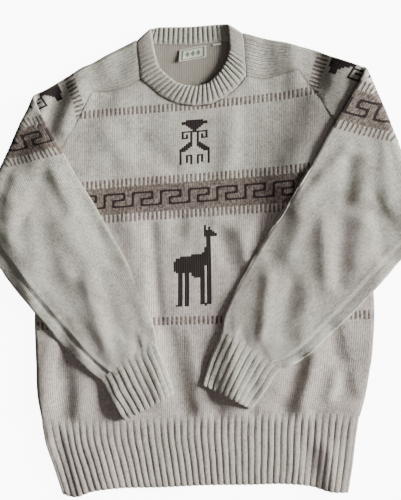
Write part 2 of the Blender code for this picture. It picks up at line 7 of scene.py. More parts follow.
# %% The frame
import bpy
import numpy as np
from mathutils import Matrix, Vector


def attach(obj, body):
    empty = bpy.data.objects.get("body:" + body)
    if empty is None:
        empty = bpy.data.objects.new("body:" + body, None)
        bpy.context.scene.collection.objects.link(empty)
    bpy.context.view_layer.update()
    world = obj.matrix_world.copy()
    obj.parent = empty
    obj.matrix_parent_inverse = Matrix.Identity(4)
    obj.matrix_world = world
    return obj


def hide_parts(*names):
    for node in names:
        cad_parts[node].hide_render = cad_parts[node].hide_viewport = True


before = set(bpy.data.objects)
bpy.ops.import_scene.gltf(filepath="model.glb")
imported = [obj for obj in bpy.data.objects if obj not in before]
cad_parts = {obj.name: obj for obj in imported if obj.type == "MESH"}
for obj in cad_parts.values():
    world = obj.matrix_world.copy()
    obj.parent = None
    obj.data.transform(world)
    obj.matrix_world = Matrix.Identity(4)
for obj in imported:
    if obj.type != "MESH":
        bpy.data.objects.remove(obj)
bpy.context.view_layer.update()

# %% [markdown]
# Sizes of the cloth.
# The knit is a real wall of about 2.6 mm. The back lies on the table, the front lies on the back
# with a little air between them, and the two turn into each other in a round of 2.6 mm at the sides.
# All lengths are in millimetres in the plan of the sweater and are turned into metres at the end.

# %% Sizes of the cloth
MM = 0.001
PLAN_CENTRE = (1.5, 2.6)
CLOTH = 2.6
LOFT = 2.6
BACK_MID = CLOTH / 2
FRONT_MID = BACK_MID + CLOTH + LOFT
SIDE_MID = (BACK_MID + FRONT_MID) / 2
SIDE_ROUND = (FRONT_MID - BACK_MID) / 2
TOP = FRONT_MID + CLOTH / 2
SEAM_GAP = 0.3                  # sewn pieces lie this far apart
WALE = 3.4                      # width of a stitch
COURSE = 2.45                   # height of a stitch
SHELL = 2.2                     # thickness of the visible shell
print("stitch", WALE, "by", COURSE, "mm, top of the front at", TOP, "mm")

# %% [markdown]
# The plan.
# The outline of the sweater is given by short tables: the two sides, the top and the bottom of the
# hem rib, and the neck, whose edge columns are the free edge of its band. They could be curves drawn
# by hand in the viewport, but a table of real sizes is easier to read and to correct.

# %% The plan of the body

def table(columns, *rows):
    """A table with named columns: one array for each name."""
    return dict(zip(columns.split(), np.array(rows, float).T))


def plan_line(columns, prefix=""):
    """Points in the plan from the x and y columns of a table."""
    return np.stack([columns[prefix + "x"], columns[prefix + "y"]], axis=-1)


SIDES = table("y left right",
              (-236, -239, 236), (-207, -245, 244), (-147, -248, 254), (-87, -250, 259),
              (-27, -248, 257), (33, -246, 253), (105, -244, 249))
UNDERARMS = {-1: (-244, 93), 1: (248, 116)}
HEM_TOP = table("x y", (-239, -241), (-205, -238), (-122, -237), (0, -231), (118, -226), (190, -226),
                (236, -231))
HEM_EDGE = table("x y", (-209, -347), (-190, -352), (-165, -344), (-130, -339), (-60, -337), (0, -334),
                 (75, -333), (125, -332), (165, -336), (193, -344), (220, -345))
HEM_SIDES = table("share left right", (0, -239, 236), (0.3, -233, 231), (0.6, -222, 227), (1, -208, 220))
FRONT_NECK = table("x y edge_x edge_y",
                   (-92, 273, -63, 291), (-77, 261, -51, 279), (-62, 248, -38, 269),
                   (-40, 237, -24, 264.5), (-13, 233, -7, 263), (13, 236, 9, 267), (35, 246, 20, 276),
                   (55, 262, 31, 290), (68, 278, 38, 304))
BACK_NECK = table("x y edge_x edge_y",
                  (-96, 323, -75, 349), (-67, 327, -65, 352), (-17, 326, -17, 352.5), (28, 330, 25, 356),
                  (61, 334, 37, 357))
NECK_FOLD_RIGHT = table("x y", (-69, 311), (-74.5, 348.5), (-74.5, 350))
NECK_FOLD_LEFT = table("x y", (42, 321), (37.5, 355), (36.5, 356))
print("plan of", len(SIDES["y"]), "side rows and a neck of", len(FRONT_NECK["x"]), "rows in front")

# %% [markdown]
# The plan of the sleeves.
# Each sleeve is given by its sections as it would lie unfolded, with s running from the cuff's seam
# at 0 up to the underarm and on to the neck. Its fold line, and the places of its band in millimetres
# and of its dashes and figure in courses, are its own too. The right sleeve's fold has been pressed by
# a hand in its middle and the left one hardly, so a small table says how much along each fold.

# %% The plan of the sleeves
SLEEVE_RIGHT = {
    "side": -1,
    "sections": table("s top_x top_y under_x under_y",
                      (-80, -722, 99, -700, 18), (-40, -683, 117, -664, 25), (0, -648, 131, -629, 33),
                      (14, -636, 139, -615, 31), (110, -541, 177, -528, 29), (220, -434, 203, -417, 36),
                      (300, -350, 221, -340, 48), (400, -253, 248, -244, 93), (480, -176, 292, -119, 116)),
    "saddle": table("front_x front_y top_x top_y back_x back_y",
                    (-164, 255, -176, 292, -164, 255), (-137, 256, -152, 303, -141, 280),
                    (-114, 262, -124, 317, -118, 303), (-92, 273, -97, 331, -96, 323)),
    "underarm": 400,
    "fold": ((-253, 248), (-340, 48)),
    "band": 350,
    "pressed": table("way share", (0, 0.3), (30, 0.62), (95, 0.62), (150, 0.3)),
    "dashes": 185,
    "figure": 182,
}
SLEEVE_LEFT = {
    "side": 1,
    "sections": table("s top_x top_y under_x under_y",
                      (-80, 752, 124, 726, 48), (-40, 715, 144, 690, 54), (0, 674, 162, 650, 60),
                      (14, 663, 170, 640, 54), (110, 560, 206, 541, 44), (220, 450, 231, 432, 49),
                      (320, 350, 261, 344, 56), (410, 247, 290, 248, 116), (490, 155, 321, 107, 164)),
    "saddle": table("front_x front_y top_x top_y back_x back_y",
                    (145, 288, 155, 321, 145, 288), (120, 281, 126, 327, 117, 305),
                    (93, 274, 93, 333, 89, 321), (68, 278, 62, 342, 61, 334)),
    "underarm": 410,
    "fold": ((247, 290), (343, 56)),
    "band": 372,
    "pressed": table("way share", (0, 0), (150, 0.15)),
    "dashes": 189,
    "figure": 188,
}
SADDLE_SHARE = 0.79             # the saddle is the rest of the sleeve's width, beside the shoulder line
ARMHOLE_RISE = 80               # the sleeve is this much longer at the saddle than at the underarm
SADDLE_LENGTH = 80
CUFF_LENGTH = 80
FOLD_BORE = 1.5                 # air inside the turn of the folded sleeve
FOLD_AXIS = TOP + FOLD_BORE
TURN_LENGTH = np.pi * (FOLD_AXIS - SIDE_MID)
print(len(SLEEVE_LEFT["sections"]["s"]), "sections a sleeve, turned over at", FOLD_AXIS, "mm")

# %% [markdown]
# Curves through the tables.
# A smooth curve through the rows keeps the outline soft with few numbers. Blender's own curve
# objects could do it too; a small Hermite function keeps everything in arrays, which is fast.

# %% Curves through the tables

def smooth(x, xs, ys):
    """A smooth curve through the table's points (xs rising), read at x."""
    x = np.asarray(x, float)
    slope = np.gradient(ys, xs)
    i = np.clip(np.searchsorted(xs, x) - 1, 0, len(xs) - 2)
    span = xs[i + 1] - xs[i]
    t = np.clip((x - xs[i]) / span, 0, 1)
    from_here = (1 + 2 * t) * (1 - t) ** 2
    slope_here = t * (1 - t) ** 2
    from_next = t ** 2 * (3 - 2 * t)
    slope_next = t ** 2 * (t - 1)
    return (from_here * ys[i] + slope_here * span * slope[i]
            + from_next * ys[i + 1] + slope_next * span * slope[i + 1])


def smooth_line(at, rows, columns, prefix):
    """The same for a line in the plan, from the x and y columns of a table."""
    return np.stack([smooth(at, rows, columns[prefix + axis]) for axis in "xy"], axis=-1)


def ease(t):
    """0 to 1 with soft ends."""
    t = np.clip(t, 0, 1)
    return t * t * (3 - 2 * t)


def through(points, count):
    """A smooth line of count points through the given ones."""
    points = np.asarray(points, float)
    steps = np.maximum(np.linalg.norm(np.diff(points, axis=0), axis=1), 1e-3)
    length = np.concatenate([[0], np.cumsum(steps)])
    at = np.linspace(0, length[-1], count)
    return np.stack([smooth(at, length, points[:, i]) for i in range(2)], axis=-1)


print("the right side's middle is at x", smooth(0, SIDES["y"], SIDES["left"]), "mm")

# %% [markdown]
# Soft shapes used all over.
# Nothing in wool is exact: folds, swells and ribs are sums of a few soft curves. A hump is the bell
# curve of a ridge or of the shade in a seam, an arch is the fullness between two edges, and the
# unevenness is a small random grid read softly. A noise texture would not be the same in every use.

# %% Soft shapes used all over
PATCHES = 64                    # random values along a side of the grid, before it repeats
GRID_SHIFT = (31.7, 17.3)       # keeps the grid's own lines away from the middle of the sweater


def hump(at, width):
    """1 in the middle of a soft hump, 0 away from it."""
    return np.exp(-(at / width) ** 2)


def arch(share):
    """1 half way between two edges, 0 at both."""
    return 4 * share * (1 - share)


def unevenness(x, y, size, seed):
    """Soft random heights from -1 to 1 with bumps about size wide; the same on every run."""
    grid = np.random.default_rng(seed).uniform(-1, 1, (PATCHES, PATCHES))
    u = np.asarray(x) / size + GRID_SHIFT[0]
    v = np.asarray(y) / size + GRID_SHIFT[1]
    i, j = np.floor(u).astype(int), np.floor(v).astype(int)
    a, b = ease(u - i), ease(v - j)

    def corner(right, up):
        return grid[(i + right) % PATCHES, (j + up) % PATCHES]

    low = corner(0, 0) * (1 - a) + corner(1, 0) * a
    high = corner(0, 1) * (1 - a) + corner(1, 1) * a
    return low * (1 - b) + high * b


def swell(x, y, broad, small, seed, drawn_out=(1, 1)):
    """Uneven height of cloth that was laid out by hand: broad swells and gentler small ones."""
    small_share = 0.6
    return (unevenness(x, y * drawn_out[0], broad, seed)
            + small_share * unevenness(x, y * drawn_out[1], small, seed + 1))


print("swell of 50 mm at the middle", round(float(swell(0, 0, 50, 20, 1)), 2))

# %% [markdown]
# The folds.
# A sweater that has been laid out by hand keeps soft troughs and ridges, and each one is a row here:
# a line, its half width and how far it rises or sinks. A cloth simulation would give other folds
# than the ones this sweater has, so they are listed one by one, uneven in length and depth. One long
# fold stands up beside the left sleeve: there the front and the sleeve's turned edge rise together.

# %% The folds
BODY_FOLDS = table("x0 y0 x1 y1 width rise",
                   (195, -102, 219, -198, 12, -3.4), (148, -150, 125, -221, 12, -3.0),
                   (214, -196, 172, -224, 10, -2.0), (169, -140, 150, -214, 13, 3.0),
                   (208, -159, 193, -204, 11, 2.8), (-206, -92, -203, -228, 12, -2.6),
                   (-228, -125, -234, -215, 14, 2.2), (-178, -130, -180, -226, 15, 1.6),
                   (-150, -190, -146, -226, 9, -1.6), (-128, -196, -124, -226, 9, 1.6),
                   (-50, -108, -25, -218, 12, -2.9), (-74, -100, -60, -200, 13, 2.2),
                   (-14, -120, 0, -222, 11, 2.2), (19, -178, 23, -224, 9, -2.2),
                   (44, -120, 52, -216, 15, 2.2), (78, -185, 76, -224, 9, -1.6),
                   (-35, 62, -36, 46, 13, -2.4), (31, 40, 42, 2, 11, -2.4),
                   (60, 40, 68, 0, 9, 2.2), (22, 62, 66, 50, 12, 1.6),
                   (-74, 52, -70, -18, 8, -2.0), (-69, -30, -63, -90, 8, -2.2),
                   (-108, 60, -96, -40, 20, 2.6), (-88, -20, -84, -80, 12, 1.8),
                   (70, 216, 67, 130, 20, -1.6), (108, 246, 100, 124, 34, -3.0), (46, 214, 41, 140, 14, 1.6),
                   (-140, 196, -112, 152, 17, 1.8), (-86, 182, -44, 140, 14, -1.6),
                   (-158, 250, -160, 226, 12, -1.4), (-120, 228, -104, 205, 14, 1.2),
                   (0, 180, 14, 128, 15, -1.2), (-60, 128, -20, 116, 13, 1.2),
                   (100, 90, 84, 40, 12, -1.8),
                   (162, -285, 172, -345, 12, -2.0), (192, -285, 198, -345, 13, 2.0),
                   (-214, -270, -200, -345, 13, -2.2), (-150, -300, -140, -335, 20, 1.2),
                   (-212, 262, -230, 204, 13, -3.4), (-186, 258, -208, 200, 13, 2.8),
                   (-234, 240, -246, 208, 13, 2.2), (-118, 308, -148, 240, 16, -1.7),
                   (-184, 300, -178, 250, 14, 1.3), (95, 326, 98, 270, 14, -1.8),
                   (138, 324, 140, 264, 13, 2.0), (172, 316, 177, 272, 15, -1.4))
SLEEVE_FOLDS = table("x0 y0 x1 y1 width rise",
                     (-240, 160, -232, 122, 12, -1.2), (-232, 124, -205, 80, 12, -1.2),
                     (-217, 130, -196, 76, 12, 1.9), (-284, 125, -284, 20, 15, 3.0),
                     (-284, 30, -252, -62, 14, 2.4), (-205, 60, -150, -40, 16, 2.0),
                     (-246, 90, -222, -20, 14, -1.8), (-226, -10, -178, -92, 13, -1.6),
                     (-172, -30, -143, -126, 11, 2.2), (-150, -20, -122, -110, 11, -1.6),
                     (-176, 90, -134, 0, 10, -1.4),
                     (204, 172, 160, 122, 13, -1.8), (160, 122, 122, 66, 13, -1.5),
                     (214, 168, 140, 78, 11, 2.2), (218, 150, 214, 92, 10, -2.0),
                     (244, 156, 238, 100, 13, 2.2), (122, 70, 104, 10, 11, -1.6),
                     (181, 58, 186, -34, 12, 2.4), (211, 58, 205, -30, 10, -1.8),
                     (100, -24, 90, -112, 11, 2.8), (133, -28, 122, -104, 11, -2.0),
                     (160, -40, 150, -110, 12, 1.6), (275, 186, 276, 84, 12, 2.0),
                     (262, 66, 268, 14, 11, -2.6), (240, 60, 232, 0, 12, 1.8),
                     (150, 60, 132, 10, 12, 1.8))
STANDING_FOLDS = table("x0 y0 x1 y1 width rise",
                       (228, 290, 132, 108, 44, 10.4))
DEPTH = 1.4                     # all folds are this much deeper than their rows say
LOWEST = 5.0                    # no trough sinks further than this


def fold_height(folds, x, y):
    """Height added at a place of the plan by soft ridges and troughs."""
    height = np.zeros(np.broadcast(x, y).shape)
    for x0, y0, x1, y1, width, rise in zip(*folds.values()):
        length = np.hypot(x1 - x0, y1 - y0)
        along = ((x - x0) * (x1 - x0) + (y - y0) * (y1 - y0)) / length
        across = ((x - x0) * (y1 - y0) - (y - y0) * (x1 - x0)) / length
        past = np.maximum(np.maximum(-along, along - length), 0)
        height = height + rise * np.exp(-(across / width) ** 2 - (past / width) ** 2)
    height = height * DEPTH
    return np.where(height < 0, LOWEST * np.tanh(height / LOWEST), height)


def front_height(x, y):
    """Middle of the front's wall above the table."""
    return FRONT_MID + fold_height(BODY_FOLDS, x, y) + fold_height(STANDING_FOLDS, x, y)


print(len(BODY_FOLDS["rise"]), "folds on the body and", len(SLEEVE_FOLDS["rise"]), "on the sleeves")

# %% [markdown]
# The sleeves' form.
# A sleeve is a flattened tube. Unfolded, it runs out sideways from the armhole; then it is turned
# over a fold line and laid down on the front. Turning each point round one axis keeps every length
# along the sleeve, which is just what knitted cloth does when it is folded.

# %% The sleeves' form

def sleeve_edges(sleeve, s):
    """The shoulder line edge and the underarm edge of the unfolded sleeve at s."""
    sections = sleeve["sections"]
    top = smooth_line(s, sections["s"], sections, "top_")
    under = smooth_line(s, sections["s"], sections, "under_")
    return top, under


def saddle_edges(sleeve, s, back):
    """The same two edges where the sleeve runs on to the neck as a saddle over the shoulder."""
    saddle = sleeve["saddle"]
    rows = np.arange(4) * SADDLE_LENGTH / 3
    at = s - sleeve["underarm"] - ARMHOLE_RISE
    top = smooth_line(at, rows, saddle, "top_")
    seam = smooth_line(at, rows, saddle, "back_" if back else "front_")
    reach = np.linalg.norm(top - seam, axis=-1, keepdims=True)
    width = (reach - SEAM_GAP + SIDE_ROUND * (1 - 2 * SADDLE_SHARE)) / (1 - SADDLE_SHARE)
    return top, top + (seam - top) / reach * width


def fold_frame(sleeve):
    """The fold line's start, its direction and the way out from the body."""
    start, end = (np.array(point, float) for point in sleeve["fold"])
    along = (end - start) / np.linalg.norm(end - start)
    return start, along, np.array([-along[1], along[0]]) * sleeve["side"]


print("the left sleeve turns over a line of", round(float(np.linalg.norm(
    np.subtract(*SLEEVE_LEFT["fold"]))), 1), "mm")

# %% [markdown]
# Laying the sleeves down.
# Once it is turned over, the sleeve settles on what is beneath it: it takes on the body's folds, sinks
# where it hangs out beside the body, and has creases of its own on top. Near the fold line it keeps
# the round of the turn, unless a hand has pressed it flat. Simulated cloth would settle by itself, but
# every face has to stay a stitch in its place, so each of these movements is one line of sums.

# %% Laying the sleeves down
PRESSED_IN = 46                 # how far the pressing of the fold reaches into the folded sleeve
PRESSED_OUT = 16                # and into the shoulder
SINK_DEPTH = 6.0                # how far a sleeve sinks beside the body
SINK_WIDTH = 42                 # and over what distance from the body's edge
SETTLED_AFTER = 60              # the sleeve has come down from its turn this far from the fold
SETTLED_GAP = 0.8               # and lies this high over the front
WELT_FROM = -205                # the cuffs lie on the ribs of the welt below this line
WELT_RISE = 1.2                 # which lift them this much
SOFT_FLOOR = 0.5                # heights near the table are rounded off over this length


def sink_beside_body(sleeve, plan):
    """How far the folded sleeve sinks where neither the body nor its own upper arm is beneath it."""
    side = sleeve["side"]
    edge = SIDES["left"] if side < 0 else SIDES["right"]
    outside = (plan[..., 0] - np.interp(plan[..., 1], SIDES["y"], edge)) * side
    armpit = np.array(UNDERARMS[side], float)
    line = np.array(sleeve["fold"][1], float) - armpit
    line = line / np.linalg.norm(line)
    below = ((plan - armpit) @ np.array([line[1], -line[0]])) * side
    return SINK_DEPTH * ease(np.minimum(outside, below) / SINK_WIDTH)


def fold_over(sleeve, points, fold_rows):
    """Turns the unfolded sleeve over its fold line and lays it down on the front."""
    start, along, out = fold_frame(sleeve)
    plan = points[..., :2] - start
    way = plan @ along
    beyond = plan @ out + FOLD_AXIS
    angle = np.clip(beyond / (TURN_LENGTH / np.pi), 0, np.pi)
    drop = FOLD_AXIS - points[..., 2]
    rest = np.maximum(beyond - TURN_LENGTH, 0)
    reach = np.where(beyond > 0, drop * np.sin(angle) - rest, beyond) - FOLD_AXIS
    height = FOLD_AXIS - drop * np.cos(angle)
    flat = start + way[..., None] * along + reach[..., None] * out
    x, y = flat[..., 0], flat[..., 1]
    beneath = fold_height(BODY_FOLDS, x, y) + WELT_RISE * ease((WELT_FROM - y) / 25)
    settle = ease(rest / SETTLED_AFTER) * (beneath + SETTLED_GAP - 2 * FOLD_BORE)
    settle = settle - ease(rest / 25) * sink_beside_body(sleeve, flat)
    upper = np.clip((SIDE_MID - points[..., 2]) / SIDE_ROUND, 0, 1)         # 1 on top once it is folded
    settle = settle + upper * ease(rest / 20) * fold_height(fold_rows, x, y)
    facing = np.clip((points[..., 2] - SIDE_MID) / SIDE_ROUND, 0, 1)        # 1 on top of the shoulder
    turned = ease(angle / np.pi)
    settle = settle + (facing * (1 - turned) + turned) * fold_height(STANDING_FOLDS, x, y)
    settle = settle - ease(rest / (2 * SETTLED_AFTER) - 0.5) * (0.6 + 2.2 * upper)
    near_fold = 1 - ease(np.where(beyond > 0, rest / PRESSED_IN, np.maximum(-beyond, 0) / PRESSED_OUT))
    pressed = 1 - np.interp(way, sleeve["pressed"]["way"], sleeve["pressed"]["share"]) * near_fold
    z = (height + settle) * pressed
    z = (z + np.sqrt(z * z + SOFT_FLOOR ** 2)) / 2          # never below the table
    return np.concatenate([flat, z[..., None]], axis=-1)


print("a sleeve lies", SETTLED_GAP, "mm over the front from", SETTLED_AFTER, "mm past its turn")

# %% [markdown]
# Stitches as faces.
# Knit grows in upright lines of stitches, the wales, and in rows across, the courses. The mesh is
# made the same way: one column of faces for each wale, one row for each course, and each column ends
# where the shaping of the piece ends it. Two columns of unlike length are zipped with triangles.
# A remesh would be easier, but then no face would be a stitch and no pattern could be charted.

# %% Stitches as faces
SHORTEST = 0.3                  # a last stitch lower than this share is joined to the one below it


def zip_lines(low, high, course):
    """Triangles between two rising lines of points, lowest course first."""
    faces = []
    i = j = 0
    while i < len(low) - 1 or j < len(high) - 1:
        if j == len(high) - 1 or (i < len(low) - 1 and course[low[i + 1]] <= course[high[j + 1]]):
            faces.append((low[i], high[j], low[i + 1]))
            i += 1
        else:
            faces.append((low[i], high[j], high[j + 1]))
            j += 1
    return faces


def knit_lattice(ends, closed=False, stops=None):
    """Wale line and course of each point, and the faces; wale line k ends at course ends[k].
    Stops give, for a pair of wale lines, the last course at which they are joined."""
    lines = []
    line_of, course_of = [], []
    for k, end in enumerate(ends):
        rows = [row for row in range(int(np.ceil(end))) if end - row > SHORTEST] + [end]
        lines.append(list(range(len(line_of), len(line_of) + len(rows))))
        line_of += [k] * len(rows)
        course_of += rows
    course_of = np.array(course_of, float)
    faces = []
    pairs = [(k, k + 1) for k in range(len(ends) - 1)]
    if closed:
        pairs.append((len(ends) - 1, 0))
    for pair in pairs:
        low, high = (lines[k] for k in pair)
        if stops and pair in stops:
            low = [i for i in low if course_of[i] <= stops[pair]]
            high = [i for i in high if course_of[i] <= stops[pair]]
        same = min(len(low), len(high)) - 2
        while same > 0 and course_of[low[same]] != course_of[high[same]]:
            same -= 1
        faces += [(low[j], high[j], high[j + 1], low[j + 1]) for j in range(same)]
        faces += zip_lines(low[same:], high[same:], course_of)
    return np.array(line_of), course_of, faces


print("a swatch of 4 wales and 6 courses has", len(knit_lattice([6] * 5)[2]), "faces")

# %% [markdown]
# A knitted piece as a mesh.
# A piece is made from its points, its faces and what each point knows of its stitch, such as its wale
# and course, which the material reads later. Solidify then gives it the thickness of the knit.
# Extruding by hand would do the same, but would have to be redone after every change of a fold.

# %% A knitted piece as a mesh
GROUND, TAUPE, DARK = 0, 1, 2   # the yarn's colours in a chart
CRISP_FROM = 65                 # degrees; only rims are sharper than this


def add_values(mesh, domain, values):
    """Stores named values on a mesh's points or faces."""
    for key, value in values.items():
        layer = mesh.attributes.new(key, "FLOAT", domain)
        layer.data.foreach_set("value", np.asarray(value, np.float32))


def spread_dark(points, faces, ink):
    """Share of dark stitches round each point: dark yarn swells over its neighbours."""
    dark, around = np.zeros(len(points)), np.zeros(len(points))
    for face, value in zip(faces, ink):
        dark[list(face)] += value == DARK
        around[list(face)] += 1
    return dark / np.maximum(around, 1)


def make_piece(name, points, faces, values, ink=None):
    """A mesh object from points in plan millimetres, with its stitch values as attributes."""
    mesh = bpy.data.meshes.new(name)
    placed = (points - np.array([*PLAN_CENTRE, 0])) * MM
    mesh.from_pydata(placed.tolist(), [], faces)
    add_values(mesh, "POINT", values)
    if ink is not None:
        add_values(mesh, "POINT", {"dark": spread_dark(points, faces, ink)})
        add_values(mesh, "FACE", {"ink": ink})
    mesh.shade_smooth()
    piece = bpy.data.objects.new(name, mesh)
    bpy.context.scene.collection.objects.link(piece)
    return piece


def thicken(piece, thickness=SHELL):
    """Gives the shell the thickness of the knit, on its inner side, with crisp rims."""
    wall = piece.modifiers.new("knit thickness", "SOLIDIFY")
    wall.thickness = thickness * MM
    wall.offset = -1
    solid = bpy.data.meshes.new_from_object(piece.evaluated_get(bpy.context.evaluated_depsgraph_get()))
    piece.modifiers.clear()
    piece.data = solid
    places = np.empty(3 * len(solid.vertices), np.float32)
    solid.vertices.foreach_get("co", places)
    places[2::3] = np.maximum(places[2::3], 0)              # the cloth rests on the table
    solid.vertices.foreach_set("co", places)
    solid.set_sharp_from_angle(angle=np.radians(CRISP_FROM))
    print(piece.name, len(solid.polygons), "faces")
    return piece


print("shells of", SHELL, "mm in a wall of", CLOTH, "mm")

# %% [markdown]
# The charts.
# Bands, figure and llama are colour knitting, one colour to a stitch. Each is charted as boxes of
# stitches: first and last wale, first and last course. A picture could be used as a mask instead,
# but a chart is what a knitter has, and it stays sharp at any size.

# %% The charts
KEY_REPEAT = 13                 # wales from one key to the next
KEY_BELOW = 4                   # courses of the key under the middle of its band
KEY = ((0, 1, 0, 9), (0, 10, 8, 9), (9, 10, 4, 9), (4, 10, 4, 5), (4, 5, 0, 5), (4, 13, 0, 1))
LLAMA_AT = (61, 68)
LLAMA = ((2, 4, 0, 20), (1, 2, 0, 1), (5, 7, 0, 20), (12, 14, 1, 24), (15, 17, 1, 24), (14, 15, 0, 2),
         (1, 14, 20, 29), (3, 14, 29, 30), (8, 14, 30, 31), (8, 13, 18, 20), (9, 12, 17, 18),
         (13, 17, 24, 32), (14, 17, 31, 35), (15, 17, 34, 42), (0, 1, 21, 27), (1, 2, 26, 28),
         (14, 18, 41, 45), (18, 20, 41, 43), (18, 19, 43, 44), (14, 15, 45, 48), (16, 17, 45, 47))
FIGURE_AT = (71, 154)
FIGURE_HALF = ((0, 1, 21, 23), (0, 2, 22, 24), (0, 3, 23, 25), (0, 4, 24, 26), (0, 6, 25, 27),
               (0, 4, 27, 28), (0, 6, 20, 21), (5, 6, 16, 21), (3, 6, 16, 17), (3, 4, 16, 19),
               (1, 2, 12, 21), (1, 3, 11, 14), (2, 4, 10, 13), (3, 5, 9, 12), (4, 6, 8, 11),
               (5, 7, 8, 10), (6, 7, 0, 9), (1, 4, 5, 6), (1, 2, 0, 6), (3, 4, 1, 6))
FIGURE_WAIST, FIGURE_TOP = 12, 28               # courses over the figure's feet
print("charts of", len(LLAMA), "and", len(FIGURE_HALF), "boxes")

# %% [markdown]
# Reading the charts.
# The two broad bands are the same chart, a key between two rows of dashes, worked round the body and
# round each sleeve. The figure is alike on both sides, so only its half is charted and the wales are
# counted from its middle. Each function takes all the stitches of a piece at once.

# %% Reading the charts
BAND_HALF = 8                   # courses of the broad band over and under its middle
DASH_HEIGHT = 5
BAND_COURSE = 134               # middle of the body's broad band
DASH_COURSES = (57, 188)        # lowest courses of its two rows of dashes
KEY_START = 3                   # wale where a key of the body starts
BAND_REACH = 10                 # this near to a band's middle the dark yarn lies on taupe


def covered(wale, course, boxes):
    """Which stitches a chart of boxes fills."""
    filled = np.zeros(len(wale), bool)
    for w0, w1, c0, c1 in boxes:
        filled |= (wale >= w0) & (wale < w1) & (course >= c0) & (course < c1)
    return filled


def band_ink(wale, course, middle):
    """The broad band: taupe with a dark key pattern, and a row of dashes above and below it."""
    away = np.abs(course - middle)
    ink = np.where(away <= BAND_HALF, TAUPE, GROUND)
    dashes = (away > BAND_HALF) & (away <= BAND_HALF + DASH_HEIGHT)
    ink = np.where(dashes & (wale % 2 == 0), TAUPE, ink)
    return np.where(covered(wale % KEY_REPEAT, course - middle + KEY_BELOW, KEY), DARK, ink)


def dash_ink(wale, course, first):
    """A row of upright dashes, every other stitch."""
    return np.where((course >= first) & (course < first + DASH_HEIGHT) & (wale % 2 == 0), TAUPE, GROUND)


def body_ink(wale, course, with_motifs):
    """The whole chart of a body panel; its middle is half way between its two last wales."""
    ink = band_ink(wale - KEY_START, course, BAND_COURSE)
    for first in DASH_COURSES:
        ink = np.maximum(ink, dash_ink(wale, course, first))
    if with_motifs:
        ink = np.where(covered(wale - LLAMA_AT[0], course - LLAMA_AT[1], LLAMA), DARK, ink)
        half = np.where(wale >= FIGURE_AT[0], wale - FIGURE_AT[0], FIGURE_AT[0] - 1 - wale)
        ink = np.where(covered(half, course - FIGURE_AT[1], FIGURE_HALF), DARK, ink)
    return ink


print("a repeat of the key has", int(covered(*np.indices((KEY_REPEAT, 9)).reshape(2, -1), KEY).sum()),
      "dark stitches")

# %% [markdown]
# How the courses lie.
# The courses of this sweater have settled in slightly tilted lines, higher toward the left shoulder.
# A few of them are given by their heights at five places across the body, and the others lie evenly
# between. Straight rows would be simpler, but the bands would then miss the sleeves' bands.

# %% How the courses lie
COURSE_LINES = table("course a b c d e",         # heights at the five places of COURSE_X
                     (0, -241, -237, -231, -226, -231), (59, -97, -91.5, -88, -84.5, -80),
                     (134, 82, 91, 99.5, 108.5, 120), (190, 213, 224, 233, 247, 268),
                     (225, 295, 307, 318, 334, 356), (248, 351, 363, 374, 390, 412))
COURSE_X = (-240, -120, 0, 120, 240)
LAST_STRIP = len(COURSE_X) - 1 - 1e-4
WELT_BLEND = 30                 # courses over which the tilt of the welt's seam is taken up


def course_height(x, course):
    """Where a course lies at x."""
    lines = np.stack([smooth(course, COURSE_LINES["course"], COURSE_LINES[key]) for key in "abcde"])
    step = COURSE_X[1] - COURSE_X[0]
    at = np.clip((x - COURSE_X[0]) / step, 0, LAST_STRIP)
    i = at.astype(int)
    share = at - i
    here = np.arange(len(x))
    y = lines[i, here] * (1 - share) + lines[i + 1, here] * share
    first = np.interp(x, COURSE_X, [COURSE_LINES[key][0] for key in "abcde"])
    to_hem = np.interp(x, HEM_TOP["x"], HEM_TOP["y"]) - first
    return y + to_hem * np.clip(1 - course / WELT_BLEND, 0, 1)


print("the band's middle lies at y", course_height(np.array([-200, 200]), np.full(2, BAND_COURSE)).round(1))

# %% [markdown]
# The top edge of a panel.
# A panel ends at the armhole, the saddle and the neck. These lines are taken from the sleeves' own
# tables, so that what is sewn together stays together. Sewn edges roll a little into their seam, and
# a fine dark line of shade is painted into the seam.

# %% The top edge of a panel
SEAM_ROLL = 0.5                 # how far an edge that is sewn rolls down into its seam
ROLL_WIDTH = 2.6
SEAM_SHADE = 1.3                # half width of the dark line of painted shade in a seam


def armhole_start(sleeve, share):
    """Where the sleeve starts beside the body, from the underarm up to the saddle."""
    reach = np.clip(np.asarray(share, float) / SADDLE_SHARE, 0, 1)
    return sleeve["underarm"] + ARMHOLE_RISE * reach ** 1.5


def armhole_line(sleeve):
    """Plan of the armhole, from the underarm to the saddle."""
    share = np.linspace(0, SADDLE_SHARE, 30)
    top, under = sleeve_edges(sleeve, armhole_start(sleeve, share))
    return under + (top - under) * share[:, None]


def panel_top(name, neck):
    """The upper edge of a panel, from one underarm to the other."""
    right, left = SLEEVE_RIGHT["saddle"], SLEEVE_LEFT["saddle"]
    up = through(plan_line(right, name + "_"), 20)
    down = through(plan_line(left, name + "_"), 20)[::-1]
    middle = through(plan_line(neck), 60)
    return np.concatenate([armhole_line(SLEEVE_RIGHT), up, middle, down, armhole_line(SLEEVE_LEFT)[::-1]])


def edge_distance(x, y, top):
    """How far a place is under the top edge, measured across that edge."""
    steps = np.diff(top, axis=0)
    steepest = 0.3              # mm across; steps shorter than this would make a slope without end
    slopes = steps[:, 1] / np.maximum(steps[:, 0], steepest)
    slope = np.interp(x, top[:-1, 0] + 0.01, slopes)
    return np.maximum(np.interp(x, *top.T) - y, 0) / np.sqrt(1 + slope ** 2)


print("the front's top edge has", len(panel_top("front", FRONT_NECK)), "points")

# %% [markdown]
# Across the body.
# The front and the back turn into each other in a small round at the sides. Wale lines are therefore
# given by their share of the width and by how far they have turned: 90 degrees on the flat part, less
# round the side. The welts below use the same lines, so panel and welt meet all the way round.

# %% Across the body
BODY_WALES = 150
SIDE_TURNS = (0, 15, 30, 45, 60, 75)


